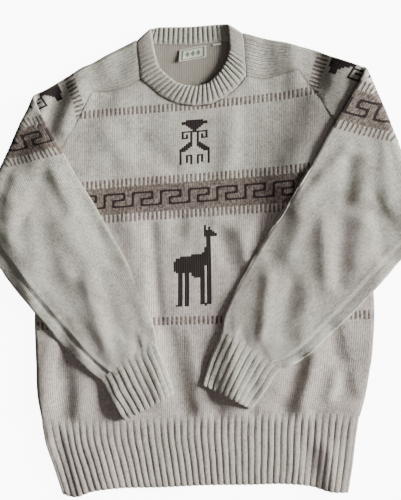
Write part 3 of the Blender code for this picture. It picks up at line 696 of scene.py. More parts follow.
def body_columns(inside):
    """Share of the width and turn of each line: round one side, the shares inside, the other side."""
    one_side = [(0.0, turn) for turn in SIDE_TURNS]
    other_side = [(1.0, turn) for turn in reversed(SIDE_TURNS)]
    return np.array(one_side + [(share, 90) for share in inside] + other_side)


def body_x(left, right, share, turn, out):
    """Where a line lies across the body, between the two sides."""
    inset = SIDE_ROUND - (SIDE_ROUND + out) * np.cos(np.radians(turn))
    inner = left + SIDE_ROUND + (right - left - 2 * SIDE_ROUND) * share
    return np.where(turn < 90, np.where(share < 0.5, left + inset, right - inset), inner)


def body_z(x, y, turn, out, front):
    """Height of the outer face; the front is lifted by its folds and the back lies flat."""
    lift = np.sin(np.radians(turn))
    if front:
        return SIDE_MID + (SIDE_ROUND + out) * lift + (front_height(x, y) - FRONT_MID) * lift
    return SIDE_MID - (SIDE_ROUND + out) * lift


def panel_place(share, turn, course, top, front, relief):
    """Points of a panel's outer face, and how far each is from the sewn top edge."""
    out = CLOTH / 2 + relief
    y = course_height(COURSE_X[0] + (COURSE_X[-1] - COURSE_X[0]) * share, course)
    for _ in range(3):          # x depends on y at the slanting sides, and y on x in the tilted courses
        left = smooth(np.minimum(y, UNDERARMS[-1][1]), SIDES["y"], SIDES["left"]) + CLOTH / 2
        right = smooth(np.minimum(y, UNDERARMS[1][1]), SIDES["y"], SIDES["right"]) - CLOTH / 2
        x = body_x(left, right, share, turn, out)
        y = course_height(x, course)
    to_edge = edge_distance(x, y, top)
    roll = SEAM_ROLL * hump(to_edge, ROLL_WIDTH)
    z = body_z(x, y, turn, out, front)
    z = z - roll if front else z + roll / 2
    return np.stack([x, y, z], axis=-1), to_edge


print("a panel has", len(body_columns(range(BODY_WALES + 1))), "wale lines")

# %% [markdown]
# Ribs and gathers.
# A rib pulls together into round ridges with narrow grooves. It doesn't stop at once where the plain
# knit starts: the ridges run out over a few courses, and the knit above is drawn into small uneven
# gathers. Both are added to the mesh, because they catch the light at arm's length.

# %% Ribs and gathers
HEM_RIBS = 46
CUFF_RIBS = 20
RIB_HEIGHT = 0.9
RIB_START = 0.45                # share of a rib's height where it leaves the plain knit


def rib_profile(phase):
    """Height of a rib across its pitch, from -0.5 in the groove to 1 on the ridge."""
    return 1.5 * np.abs(np.sin(np.pi * phase)) ** 0.6 - 0.5


def ribs_running_out(phase, up, length):
    """The ends of the ridges in the plain knit next to a rib, gone at this length above it."""
    return RIB_HEIGHT * RIB_START * rib_profile(phase) * ease(1 - up / length)


def gathers(line, up, height, grown_at, gone_at, fading, turn, sway, size, seed):
    """Uneven gathers above a rib: they have grown at one height and are gone at another."""
    ripple = np.sin(line * turn + sway * unevenness(line, up, size, seed))
    return height * ease(up / grown_at) * ease((gone_at - up) / fading) * ripple


print("a rib of the welt is", round(480 / HEM_RIBS, 1), "mm wide")

# %% [markdown]
# The front and the back.
# Both panels are the same lattice. Each wale line is followed upward until it crosses the top edge,
# and the stitches end there. The front has the swell of laid cloth; the back's outer face lies flat.

# %% The front and the back
TOP_COURSE = 246
PANEL_SWELL = 1.1


def wale_ends(columns, top, front):
    """The course at which each wale line meets the top edge."""
    courses = np.arange(TOP_COURSE)
    ends = []
    for share, turn in columns:
        line, _ = panel_place(np.full(TOP_COURSE, share), np.full(TOP_COURSE, turn), courses, top, front, 0)
        above = line[:, 1] - np.interp(line[:, 0], *top.T)
        ends.append(float(np.interp(0, above, courses)))
    return ends


def panel_relief(line, share, course):
    """Swell, running-out ribs and gathers of the front."""
    relief = PANEL_SWELL * swell(line * WALE, course * COURSE, 52, 21, 3) * ease(course / 24)
    relief = relief + ribs_running_out(share * HEM_RIBS, course, 7)
    return relief + gathers(line, course, height=0.8, grown_at=6, gone_at=32, fading=20,
                            turn=0.31, sway=3.0, size=26, seed=8)


def make_panel(name, layer, neck):
    """The front with its motifs or the back without them."""
    front = layer == "front"
    top = panel_top(layer, neck)
    columns = body_columns(np.arange(BODY_WALES + 1) / BODY_WALES)
    line, course, faces = knit_lattice(wale_ends(columns, top, front))
    share, turn = columns[line].T
    relief = panel_relief(line, share, course) if front else np.zeros(len(line))
    points, to_edge = panel_place(share, turn, course, top, front, relief)
    if not front:
        faces = [face[::-1] for face in faces]
    wale = line - len(SIDE_TURNS)
    centre = np.array([[wale[list(face)].mean(), course[list(face)].mean()] for face in faces])
    ink = body_ink(*np.floor(centre).T, front)
    # the groove value marks the sewn top edge, where a dark line of shade is painted
    values = {"wale": wale, "course": course, "groove": hump(to_edge, SEAM_SHADE),
              "band": abs(course - BAND_COURSE) < BAND_REACH}
    return thicken(make_piece(name, points, faces, values, ink))


front = make_panel("knit_front", "front", FRONT_NECK)
back = make_panel("knit_back", "back", BACK_NECK)

# %% [markdown]
# Round the sleeve.
# A sleeve's wale lines go all round its flattened tube, up one layer and down the other. Each is
# given, as on the body, by a share of the width and a turn, here from 90 degrees on the layer that
# faces up before folding to -90 on the other. The same places serve the cuffs and the neckband.

# %% Round the sleeve
SLEEVE_WALES = 52
FULLNESS = 3.6                  # how far the folded sleeve arches up between its two edges
EDGE_TURNS = (0, 15, 30, 45, 60, 75, 90)


def around_sleeve():
    """Wale lines round the flattened sleeve as (share of the width, turn)."""
    shares = sorted([(k + 0.5) / SLEEVE_WALES for k in range(SLEEVE_WALES)] + [SADDLE_SHARE])
    front = [(0, turn) for turn in EDGE_TURNS]
    front += [(share, 90) for share in shares]
    front += [(1, turn) for turn in reversed(EDGE_TURNS)]
    back = [(1, -turn) for turn in EDGE_TURNS[1:]]
    back += [(share, -90) for share in reversed(shares)]
    back += [(0, -turn) for turn in reversed(EDGE_TURNS[1:])]
    return np.array(front + back, float)


def sleeve_place(sleeve, s, share, turn, relief, fold_rows):
    """Points of the sleeve's outer face, folded over the front."""
    corner = sleeve["underarm"] + ARMHOLE_RISE
    top, under = sleeve_edges(sleeve, np.minimum(s, corner))
    for back in (False, True):
        on_saddle = (s > corner) & ((turn < 0) == back)
        if on_saddle.any():
            top[on_saddle], under[on_saddle] = saddle_edges(sleeve, s[on_saddle], back)
    width = np.linalg.norm(top - under, axis=-1, keepdims=True)
    across = (top - under) / width
    angle = np.radians(turn)[:, None]
    edge = (share == 0) | (share == 1)
    reach = SIDE_ROUND + CLOTH / 2 + relief[:, None]
    inset = SIDE_ROUND - reach * np.cos(angle)
    inside = SIDE_ROUND + share[:, None] * (width - 2 * SIDE_ROUND)
    at = np.where(edge[:, None], np.where(share[:, None] == 0, inset, width - inset), inside)
    plan = under + across * at
    start, _, out = fold_frame(sleeve)
    past = np.clip(((plan - start) @ out + FOLD_AXIS) / TURN_LENGTH, 0, 1)
    crown = FULLNESS * arch(share) * ease(past) * (turn < 0)
    z = SIDE_MID + (reach[:, 0] + crown) * np.sin(angle[:, 0])
    z = z + fold_height(BODY_FOLDS, *plan.T) * np.maximum(np.sin(angle[:, 0]), 0)
    points = np.concatenate([plan, z[:, None]], axis=-1)
    return fold_over(sleeve, points, fold_rows)


print(len(around_sleeve()), "wale lines round a sleeve")

# %% [markdown]
# What shapes the sleeve's surface.
# The seam under the arm has turned a little to the upper side, where it shows as a fine groove with a
# ridge beside it. The knit of the folded sleeve has turned as well, so its courses lean, and the ends
# of the cuff's ribs and the swell of laid cloth are there as on the body.

# %% What shapes the sleeve's surface
SLEEVE_SWELL = 1.2
HALF_ROUND = 150                # about half the way round the arm, so the two layers swell differently
COURSE_LEAN = 0.45              # slope of the leaning courses
LEAN_PIVOT = 0.82               # share of the width that stays where it was
UNDER_SEAM = 13                 # mm from the sleeve's edge
UNDER_SEAM_END = 390            # it is hidden from here on
FAR = 99                        # mm; any distance from a seam that is out of its reach


def sleeve_relief(sleeve, line, lines, s, share, turn, width, to_end):
    """Height of the knit over the sleeve's plain face."""
    relief = -SEAM_ROLL * hump(np.maximum(to_end, 0), ROLL_WIDTH)
    around_arm = HALF_ROUND * (share + 2 * (turn < 0))
    relief = relief + SLEEVE_SWELL * swell(around_arm, s, 30, 14, 5, drawn_out=(0.6, 0.7)) * ease(s / 20)
    relief = relief + ribs_running_out(line * CUFF_RIBS / lines, s, 14)
    relief = relief + gathers(line, s, height=0.7, grown_at=10, gone_at=48, fading=32,
                              turn=0.4, sway=2, size=30, seed=9)
    under_seam = np.where((turn < 0) & (s < UNDER_SEAM_END), share * width - UNDER_SEAM, FAR)
    return relief - 1.7 * hump(under_seam, 2.2) + 0.9 * hump(under_seam - 5, 3)


def course_lean(s, share, width, end):
    """How far the courses have slid along the sleeve, none at the cuff and at the armhole."""
    return COURSE_LEAN * (LEAN_PIVOT - share) * width * ease(s / 150) * ease((end - s) / 70)


print("courses lean up to", round(COURSE_LEAN * LEAN_PIVOT * 150), "mm on a sleeve 150 mm wide")

# %% [markdown]
# The sleeves.
# The wales of a sleeve run from the cuff to the armhole, and those of the saddle on to the neck, so
# beside the saddle two wale lines are joined only up to the armhole. The bands of the body run on
# round the sleeves, and the upper part of the figure stands on the shoulder, a little larger.

# %% The sleeves
FIGURE_SCALE = 1.25


def sleeve_ink(sleeve, wale, course):
    """Bands and figure on the sleeve; wale counts from the shoulder line."""
    ink = band_ink(wale, np.floor(course), round(sleeve["band"] / COURSE))
    ink = np.maximum(ink, dash_ink(wale, np.floor(course), sleeve["dashes"]))
    upper_figure = [box for box in FIGURE_HALF if box[2] >= FIGURE_WAIST]
    row = (course - sleeve["figure"]) / FIGURE_SCALE + FIGURE_TOP
    return np.where(covered(np.abs(wale) / FIGURE_SCALE, row, upper_figure), DARK, ink)


def sleeve_wale(share, turn):
    """Wales counted both ways from the shoulder line; the underarm edge is a little past the last."""
    way = np.where(turn < 0, -1, 1)
    past_edge = 0.2 * (share == 0)
    return way * ((1 - share) * SLEEVE_WALES + past_edge)


def make_sleeve(name, sleeve):
    """A sleeve with its saddle, knitted as a closed tube and folded over the front."""
    shares, turns = around_sleeve().T
    corner = sleeve["underarm"] + ARMHOLE_RISE
    rows = round(corner / COURSE)
    pitch = corner / rows
    in_saddle = shares >= SADDLE_SHARE
    ends = np.where(in_saddle, corner + SADDLE_LENGTH, armhole_start(sleeve, shares))
    first, last = np.nonzero(in_saddle)[0][[0, -1]]
    stops = {(first - 1, first): rows, (last, last + 1): rows}
    line, row, faces = knit_lattice(ends / pitch, closed=True, stops=stops)
    s, share, turn, end = row * pitch, shares[line], turns[line], ends[line]
    width = np.linalg.norm(np.subtract(*sleeve_edges(sleeve, np.minimum(s, corner))), axis=-1)
    to_end = np.minimum(end - s, np.where(s > corner, (share - SADDLE_SHARE) * width, FAR))
    relief = sleeve_relief(sleeve, line, len(shares), s, share, turn, width, to_end)
    lean = course_lean(s, share, width, np.minimum(end, corner))
    points = sleeve_place(sleeve, s + lean, share, turn, relief, SLEEVE_FOLDS)
    wale = sleeve_wale(share, turn)
    centre = np.array([[wale[list(face)].mean(), s[list(face)].mean()] for face in faces])
    ink = sleeve_ink(sleeve, np.round(centre[:, 0]), centre[:, 1] / COURSE)
    # the groove value marks the sewn ends of the wales, where a dark line of shade is painted
    values = {"wale": wale, "course": s / COURSE, "groove": hump(to_end, SEAM_SHADE),
              "band": abs(s - sleeve["band"]) < BAND_REACH * COURSE}
    if sleeve["side"] < 0:
        faces = [face[::-1] for face in faces]
    return thicken(make_piece(name, points, faces, values, ink))


sleeve_left = make_sleeve("knit_sleeve_left", SLEEVE_LEFT)
sleeve_right = make_sleeve("knit_sleeve_right", SLEEVE_RIGHT)

# %% [markdown]
# Ribs as a mesh.
# Hem, cuffs and neckband are two stitches plain, two stitches purl. The ridge is in the mesh, eight
# columns to a rib, because it shows at arm's length and its edge makes the scalloped line along the
# bottom of the sweater. No two ribs are quite alike, and the free edge curls in a little.

# %% Ribs as a mesh
RIB_STEPS = 8
RIB_WALES = 4                   # stitches to a rib
GROOVE_WIDTH = 0.32
RIM_CURL = 1.1                  # how far a free edge curls in
SEED_STEP = 37                  # far enough along the random grid for each rib to differ


def rib_strength(share):
    """Share of a rib's full height, at a share of its length from the plain knit."""
    return RIB_START + (1 - RIB_START) * ease(share / 0.15)


def uneven_ribs(phase, down, seed):
    """Height of the ribs of one piece, each a little different from the next."""
    rib = RIB_HEIGHT * rib_profile(phase) * rib_strength(down)
    return rib * (1 + 0.25 * unevenness(np.floor(phase) * SEED_STEP, down * 4, 1, seed))


def groove_shade(phase):
    """Where shade is painted between two ribs: 1 at the bottom of the groove, 0 on the ridge."""
    return hump(np.sin(np.pi * phase), GROOVE_WIDTH)


def rib_values(phase, down, rows):
    """What each point of a rib knows of its stitch."""
    # the groove value marks the grooves between the ribs, where shade is painted
    return {"wale": (phase * RIB_WALES).ravel(), "course": (down * rows + 0 * phase).ravel(),
            "groove": (groove_shade(phase) * rib_strength(down)).ravel()}


def grid_faces(rows, columns, closed):
    """Faces of a grid of points, row after row; a closed one joins its last column to its first."""
    faces = []
    for j in range(rows - 1):
        low, high = j * columns, (j + 1) * columns
        for k in range(columns if closed else columns - 1):
            right = (k + 1) % columns
            faces.append((low + k, low + right, high + right, high + k))
    return faces


print(RIB_STEPS, "columns to a rib of", RIB_WALES, "stitches")

# %% [markdown]
# The welts.
# The welt is the rib under the body. The front one follows the front's folds and waves a little; the
# back one lies flat on the table. Both turn round the sides as the panels do.

# %% The welts
WELT_ROWS = 46
SCALLOP = 0.6                   # how far ridges reach past grooves at the free edge
SIDE_RIB = 0.3                  # share of a rib's height that is left round the side
WELT_WANDER = 0.9               # how far ribs stray sideways between their two ends


def make_hem(name, front, seed):
    """The welt under the front or under the back."""
    inside = np.arange(HEM_RIBS * RIB_STEPS + 1) / (HEM_RIBS * RIB_STEPS)
    columns = body_columns(inside)
    share, turn = (np.tile(column, (WELT_ROWS, 1)) for column in columns.T)
    down = np.tile(np.linspace(0, 1, WELT_ROWS)[:, None], (1, len(columns)))
    phase = np.tile((np.arange(len(columns)) - len(SIDE_TURNS)) / RIB_STEPS, (WELT_ROWS, 1))
    rib = uneven_ribs(phase, down, seed)
    out = CLOTH / 2 + np.where(turn < 90, SIDE_RIB * rib, rib) - RIM_CURL * ease((down - 0.955) / 0.045)
    if not front:
        out = np.full(rib.shape, CLOTH / 2)
    left = smooth(down, HEM_SIDES["share"], HEM_SIDES["left"]) + CLOTH / 2
    right = smooth(down, HEM_SIDES["share"], HEM_SIDES["right"]) - CLOTH / 2
    x = body_x(left, right, share, turn, out)
    upper = np.interp(x, HEM_TOP["x"], HEM_TOP["y"])
    lower = smooth(x, HEM_EDGE["x"], HEM_EDGE["y"]) - SCALLOP * rib
    y = upper + (lower - upper) * down
    between_ends = ease(down / 0.2) * ease((1 - down) / 0.2) * (turn == 90)
    x = x + WELT_WANDER * unevenness(x, y * 0.6, 30, seed) * between_ends
    points = np.stack([x, y, body_z(x, y, turn, out, front)], axis=-1).reshape(-1, 3)
    faces = grid_faces(WELT_ROWS, len(columns), False)
    if front:
        faces = [face[::-1] for face in faces]
    return thicken(make_piece(name, points, faces, rib_values(phase, down, WELT_ROWS)))


hem_front = make_hem("rib_hem_front", True, 21)
hem_back = make_hem("rib_hem_back", False, 22)

# %% [markdown]
# The cuffs.
# A cuff is the sleeve's tube drawn on past its end. Each row of it is first placed as two plain
# rings, one at the wall and one a millimetre outside it, and a rib's height then says where between
# the two each point lies. That keeps the ridges upright on a tube that has been folded over.

# %% The cuffs
CUFF_ROWS = 34


def length_shares(line):
    """Share of a line's whole length at each of its points."""
    steps = np.linalg.norm(np.diff(line, axis=0), axis=1)
    return np.concatenate([[0], np.cumsum(steps)]) / steps.sum()


def read_line(line, lengths, at):
    """Places on a line, where lengths says how far along each of its points is."""
    return np.stack([np.interp(at, lengths, line[:, i]) for i in range(3)], axis=-1)


def cuff_ring(sleeve, down, level, shares):
    """One row round a cuff, at a level outside the wall."""
    stations = around_sleeve()
    s = np.full(len(stations), -CUFF_LENGTH * down)
    relief = np.full(len(stations), level - RIM_CURL * ease((down - 0.95) / 0.05))
    outline = sleeve_place(sleeve, s, *stations.T, relief, SLEEVE_FOLDS)
    outline[:, 2] += RIB_HEIGHT * rib_strength(down)
    outline = np.concatenate([outline, outline[:1]])
    return read_line(outline, length_shares(outline), shares)


def make_cuff(name, sleeve, seed):
    """A cuff as a closed tube."""
    columns = CUFF_RIBS * RIB_STEPS
    shares = np.arange(columns) / columns
    down = np.linspace(0, 1, CUFF_ROWS)
    phase = np.tile(np.arange(columns) / RIB_STEPS, (CUFF_ROWS, 1))
    rib = uneven_ribs(phase, down[:, None], seed)
    wall = np.array([cuff_ring(sleeve, share, 0, shares) for share in down])
    outside = np.array([cuff_ring(sleeve, share, 1, shares) for share in down])
    points = wall + (outside - wall) * rib[..., None]
    faces = grid_faces(CUFF_ROWS, columns, True)
    if sleeve["side"] > 0:
        faces = [face[::-1] for face in faces]
    values = rib_values(phase, down[:, None], CUFF_ROWS)
    return thicken(make_piece(name, points.reshape(-1, 3), faces, values))


cuff_left = make_cuff("rib_cuff_left", SLEEVE_LEFT, 23)
cuff_right = make_cuff("rib_cuff_right", SLEEVE_RIGHT, 24)

# %% [markdown]
# The neckband's two lines.
# The band is a ring that lies flattened: its front part lies on top, its back part stands up behind
# the neck and shows its inside. Its seam edge follows the pieces that it is linked to and its free
# edge is the neck opening. Beside each saddle the band turns from front to back as the saddle does.

# %% The neckband's two lines
SIDE_BEND = (90, 45, 0, -45, -90)               # turns at which the band's bend beside a saddle is read
NECK_RISE = 1.8                 # the band's front part is this much higher at its free edge


def saddle_end(sleeve):
    """The neck end of a saddle, front to back: middle of the wall and its way out."""
    before = [(SADDLE_SHARE, 90), (0.9, 90)]
    after = [(0.9, -90), (SADDLE_SHARE, -90)]
    stations = np.array(before + [(1, turn) for turn in SIDE_BEND] + after)
    s = np.full(len(stations), float(sleeve["underarm"] + ARMHOLE_RISE + SADDLE_LENGTH))
    outer = sleeve_place(sleeve, s, *stations.T, np.zeros(len(stations)), SLEEVE_FOLDS)
    inner = sleeve_place(sleeve, s, *stations.T, np.full(len(stations), -CLOTH), SLEEVE_FOLDS)
    return (outer + inner) / 2, (outer - inner) / CLOTH


def edge_beside_saddle(sleeve, front_corner, back_corner, fold):
    """Plan of the band's free edge beside a saddle, one point for each of the saddle's end points."""
    near, crease, far = plan_line(fold)
    top = plan_line(sleeve["saddle"], "top_")[-1]
    line = (crease - top) / np.linalg.norm(crease - top)
    inward = np.array([line[1], -line[0]]) * -sleeve["side"]
    turned = [crease - inward * SIDE_ROUND * (1 - np.cos(np.radians(turn))) for turn in SIDE_BEND]
    return np.array([front_corner, near, *turned, far, back_corner])


def neckband_lines():
    """Seam line, free edge and way out of the band's wall, all round."""
    front_seam = plan_line(FRONT_NECK)
    front_seam = np.column_stack([front_seam, front_height(*front_seam.T)])
    back_seam = plan_line(BACK_NECK)[::-1]
    back_seam = np.column_stack([back_seam, np.full(len(back_seam), BACK_MID)])
    front_edge = plan_line(FRONT_NECK, "edge_")
    back_edge = plan_line(BACK_NECK, "edge_")[::-1]
    left, left_out = saddle_end(SLEEVE_LEFT)
    right, right_out = (part[::-1] for part in saddle_end(SLEEVE_RIGHT))
    left_edge = edge_beside_saddle(SLEEVE_LEFT, front_edge[-1], back_edge[0], NECK_FOLD_LEFT)
    right_edge = edge_beside_saddle(SLEEVE_RIGHT, front_edge[0], back_edge[-1], NECK_FOLD_RIGHT)[::-1]
    up = np.tile([0.0, 0, 1], (len(front_seam), 1))
    down = np.tile([0.0, 0, -1], (len(back_seam), 1))
    seam = np.concatenate([front_seam, left[1:-1], back_seam, right[1:-1], front_seam[:1]])
    way_out = np.concatenate([up, left_out[1:-1], down, right_out[1:-1], up[:1]])
    plan = np.concatenate([front_edge, left_edge[1:-1], back_edge, right_edge[1:-1], front_edge[:1]])
    edge = np.column_stack([plan, seam[:, 2] + NECK_RISE * np.clip(way_out[:, 2], 0, 1)])
    return seam, edge, way_out


print("the band's lines have", len(neckband_lines()[0]), "points each")

# %% [markdown]
# The neckband.
# Between its two lines the band is built as a closed skin, outer face and inner face, because both
# are seen: the ribs stand on whichever side faces the viewer from above. A fine chain of stitches
# runs along the seam, and the ribs fade where the band is stretched smooth beside the shoulders.

# %% The neckband
NECK_RIBS = 58
NECK_ROWS = 16
NECK_MIDDLE = -17               # x of the middle of the neck
SMOOTH_FROM = (50, 292)         # the band is smoother this far from the middle and above this y
SMOOTHED = 0.8                  # share of the ribs' height that is lost there
CHAIN_HEIGHT = 0.4
UNDER_BACK = 0.06               # share of the band that reaches under the back's own edge


def rounded(line):
    """A closed line with softened corners."""
    for _ in range(4):
        line = (np.roll(line, 2, 0) + 2 * line + np.roll(line, -2, 0)) / 4
    return line


def neckband_row(low, high, out, facing_up, rib, share, inner):
    """One row of the band, a share of the way from its seam to its free edge."""
    middle = low + (high - low) * (share - UNDER_BACK * (1 - facing_up) * (1 - share))
    middle = middle + out * facing_up * arch(share)
    rise = rib * rib_strength(share) * ease(share / 0.2)
    chain = CHAIN_HEIGHT * hump(share - 0.06, 0.035)
    wall = CLOTH / 2 - ease((share - 0.9) / 0.1) - 0.9 * hump(share, 0.03)
    if inner:
        return middle - out * (wall + rise * (1 - facing_up))
    return middle + out * (wall + (rise + chain) * facing_up)


def make_neckband(name):
    """The ribbed band as one closed ring."""
    lines = neckband_lines()
    lengths = length_shares((lines[0] + lines[1]) / 2)
    columns = NECK_RIBS * RIB_STEPS
    at = np.arange(columns) / columns
    low, high, out = (rounded(read_line(line, lengths, at)) for line in lines)
    out = out / np.linalg.norm(out, axis=-1, keepdims=True)
    facing_up = (1 + out[:, 2:]) / 2
    phase = at * NECK_RIBS
    aside = np.abs(low[:, 0] - NECK_MIDDLE) - SMOOTH_FROM[0]
    beside = ease(aside / 14) * ease((low[:, 1] - SMOOTH_FROM[1]) / 18)
    ribbed = 1 - SMOOTHED * beside * facing_up[:, 0]
    rib = (RIB_HEIGHT * ribbed * rib_profile(phase))[:, None]
    shares = np.linspace(0, 1, NECK_ROWS)
    outer = np.array([neckband_row(low, high, out, facing_up, rib, share, False) for share in shares])
    inner = np.array([neckband_row(low, high, out, facing_up, rib, share, True) for share in shares])
    ring = np.concatenate([outer, inner[::-1]])
    points = ring.reshape(-1, 3)                # the ring closes on itself, so its last row is the first
    faces = [tuple(i % len(points) for i in face) for face in grid_faces(len(ring) + 1, columns, True)]
    values = {"wale": np.tile(phase * RIB_WALES, len(ring)),
              "course": np.repeat(np.arange(len(ring)), columns),
              # the groove value marks the grooves between the ribs, where shade is painted
              "groove": np.tile(groove_shade(phase) * ribbed, len(ring))}
    piece = make_piece(name, points, faces, values)
    print(name, len(faces), "faces")
    return piece


neckband = make_neckband("rib_neckband")

# %% [markdown]
# Label and tab.
# A small woven label is sewn inside the back neck, its left end a little loose, with a folded tab
# beside it. The label is plain but for a border line and three small diamonds woven in green.

# %% Label and tab
LABEL_CORNERS = ((-32.5, 317.5), (7, 325), (7.5, 307.5), (-34, 299.5))
TAB_CORNERS = ((17, 326.5), (29, 328), (29.3, 325.6), (17.3, 324.1))
PATCH_GRID = (19, 41)           # rows and columns
PATCH_WAVE = 0.25


def make_patch(name, corners, thick, lift):
    """A thin patch between four corners of the plan, its lower left corner lifted."""
    top_left, top_right, low_right, low_left = np.array(corners, float)
    rows, columns = PATCH_GRID
    down, across = np.meshgrid(np.linspace(0, 1, rows), np.linspace(0, 1, columns), indexing="ij")
    right, below = across[..., None], down[..., None]
    top = top_left * (1 - right) + top_right * right
    low = low_left * (1 - right) + low_right * right
    plan = top * (1 - below) + low * below
    z = CLOTH + SEAM_GAP + thick + lift * ease(1 - 2 * across) * down
    z = z + PATCH_WAVE * unevenness(across * 40, down * 18, 9, 4)
    points = np.concatenate([plan, z[..., None]], axis=-1).reshape(-1, 3)
    faces = [face[::-1] for face in grid_faces(rows, columns, False)]
    values = {"across": across.ravel(), "down": down.ravel()}
    return thicken(make_piece(name, points, faces, values), thick)


label = make_patch("woven_label", LABEL_CORNERS, 0.6, 2.0)
tab = make_patch("woven_tab", TAB_CORNERS, 0.9, 0)

# %% [markdown]
# Shader sums as plain expressions.
# A node tree is easier to read as sums. The small class below wraps a socket, so that adding or
# comparing two of them adds the Math node that does it, and its node method makes any other node.

# %% Shader sums as plain expressions

class Yarn:
    """A socket of a material's tree that can be used in sums."""

    def __init__(self, tree, socket):
        self.tree = tree
        self.socket = socket

    def node(self, kind, settings=None, out=0, **inputs):
        """Makes a node: settings first, then values or links for its inputs."""
        made = self.tree.nodes.new(kind)
        for key, value in (settings or {}).items():
            setattr(made, key, value)
        for key, value in inputs.items():
            numbered = key[0] == "i" and key[1:].isdigit()      # i0 is the first input
            socket = made.inputs[int(key[1:]) if numbered else key]
            if isinstance(value, Yarn):
                self.tree.links.new(value.socket, socket)
            else:
                socket.default_value = value
        return Yarn(self.tree, made.outputs[out])

    def sum(self, operation, *others):
        """The Math node of this name, on this value and any others."""
        inputs = {f"i{n}": value for n, value in enumerate((self, *others))}
        return self.node("ShaderNodeMath", {"operation": operation}, **inputs)

    def other(self, operation, first):
        """The same with this value in second place."""
        return self.node("ShaderNodeMath", {"operation": operation}, i0=first, i1=self)

    def __add__(self, other):
        return self.sum("ADD", other)

    __radd__ = __add__

    def __mul__(self, other):
        return self.sum("MULTIPLY", other)

    __rmul__ = __mul__

    def __sub__(self, other):
        return self.sum("SUBTRACT", other)

    def __rsub__(self, other):
        return self.other("SUBTRACT", other)

    def __gt__(self, other):
        return self.sum("GREATER_THAN", other)

    def __lt__(self, other):
        return self.sum("LESS_THAN", other)

    def limit(self):
        """Kept between 0 and 1."""
        return self.node("ShaderNodeClamp", i0=self, i1=0.0, i2=1.0)

    def mix(self, first, second):
        """first where this is 0, second where it is 1, as colours."""
        return self.node("ShaderNodeMix", {"data_type": "RGBA"}, 2, i0=self, i6=first, i7=second)


def new_material(name):
    """A material, its main shader and the start of its sums."""
    material = bpy.data.materials.new(name)
    material.use_nodes = True
    return material, material.node_tree.nodes["Principled BSDF"], Yarn(material.node_tree, None)


def finish_material(material, colour, height, strength, depth):
    """Joins the colour, and a bump of this depth in metres, to the main shader."""
    shader = material.node_tree.nodes["Principled BSDF"]
    bump = height.node("ShaderNodeBump", Strength=strength, Distance=depth, Height=height)
    material.node_tree.links.new(colour.socket, shader.inputs["Base Color"])
    material.node_tree.links.new(bump.socket, shader.inputs["Normal"])


print("shader sums ready")

# %% [markdown]
# The yarn.
# The yarn is heathered: pale and darker fibres spun together, so each course is streaked along its
# length and broad patches of the knit differ a little, from cream to a rosy beige. Each kind of
# streak is one noise, read from the wale and course of the stitch. An image of wool would not follow
# the knit round the folds.

# %% The yarn
WOOL = {
    "pale": (0.62, 0.61, 0.54, 1),
    "rosy": (0.66, 0.58, 0.55, 1),
    "shade": (0.33, 0.30, 0.26, 1),
    # the next colour is painted shade, for grooves, seams and the gaps between stitches
    "painted_shade": (0.13, 0.10, 0.08, 1),
    "taupe": (0.098, 0.066, 0.058, 1),
    "dark": (0.010, 0.005, 0.008, 1),
}
STREAKS = {                     # size along wales and along courses, detail, roughness, strength
    "heather": (1.05, 0.5, 3.0, 0.7, 2.9),
    "blotch": (0.24, 0.17, 2.0, 0.5, 0.8),
    "broad": (0.05, 0.035, 2.0, 0.5, 0.7),
    "fibre": (2.9, 2.2, 2.0, 0.7, 0.8),
}
TINT = (0.03, 0.022, 1.0, 0.5, 3.0)             # the same for the slow change from cream to rosy
TINT_SHIFT = 40.0               # the tint is read elsewhere, so it doesn't follow the broad patches
SHADE_SHARE = 0.36              # share of shaded fibre in the middle of the range


def attribute(start, key):
    """A value that the mesh's points or faces hold."""
    return start.node("ShaderNodeAttribute", {"attribute_name": key}, 2)


def noise(wale, course, streak, seed, shift=0.0):
    """A noise from 0 to 1 that is laid along the knit."""
    across, up, detail, rough, _ = streak
    place = wale.node("ShaderNodeCombineXYZ", X=wale * across + shift, Y=course * up, Z=float(seed))
    return wale.node("ShaderNodeTexNoise", Vector=place, Scale=1.0, Detail=detail, Roughness=rough)


def heathered(wale, course, streaks, seed, rosy, fading, purl_and_shade):
    """The colour of undyed wool; rosy and fading give its tint, and the last value darkens it, for the bumps
    of the knit's inner side and as painted shade.
    """
    # painted shade: the back's inside is darkened here for its purl bumps and for the shade inside the neck
    share = SHADE_SHARE + purl_and_shade
    for key, streak in streaks.items():
        share = share + (streak - 0.5) * STREAKS[key][-1]
    tint = (noise(wale, course, TINT, seed, TINT_SHIFT) - 0.5) * TINT[-1] + 0.5 + rosy - course * fading
    return share.limit().mix(tint.limit().mix(WOOL["pale"], WOOL["rosy"]), WOOL["shade"])


print(len(STREAKS), "kinds of streak in the yarn")

# %% [markdown]
# The stitches.
# A plain stitch is two slanting legs in its wale, with a narrow groove between the wales. The bump
# draws that from the wale and course of each point, and painted shade darkens the grooves. Each stitch
# could be a loop of yarn in the mesh, but a sweater has some fifty thousand of them.

# %% The stitches
LEG_SLANT = 1.3
STITCH_BUMP = 0.0011            # metres
STITCH_SHARES = (0.6, 0.4, 0.5)                 # of stitch, fibre and groove in the bump


def stitch_form(wale, course):
    """Height of the two legs of each stitch, and the groove between the wales."""
    side = (wale - wale.sum("FLOOR") - 0.5).sum("ABSOLUTE")
    loop = ((course - side * LEG_SLANT) * (2 * np.pi)).sum("COSINE") * 0.22 + 0.78
    stitch = ((wale * 2.0).sum("FRACT") * np.pi).sum("SINE") * loop
    return stitch, (side * 2.0).sum("POWER", 3.0)


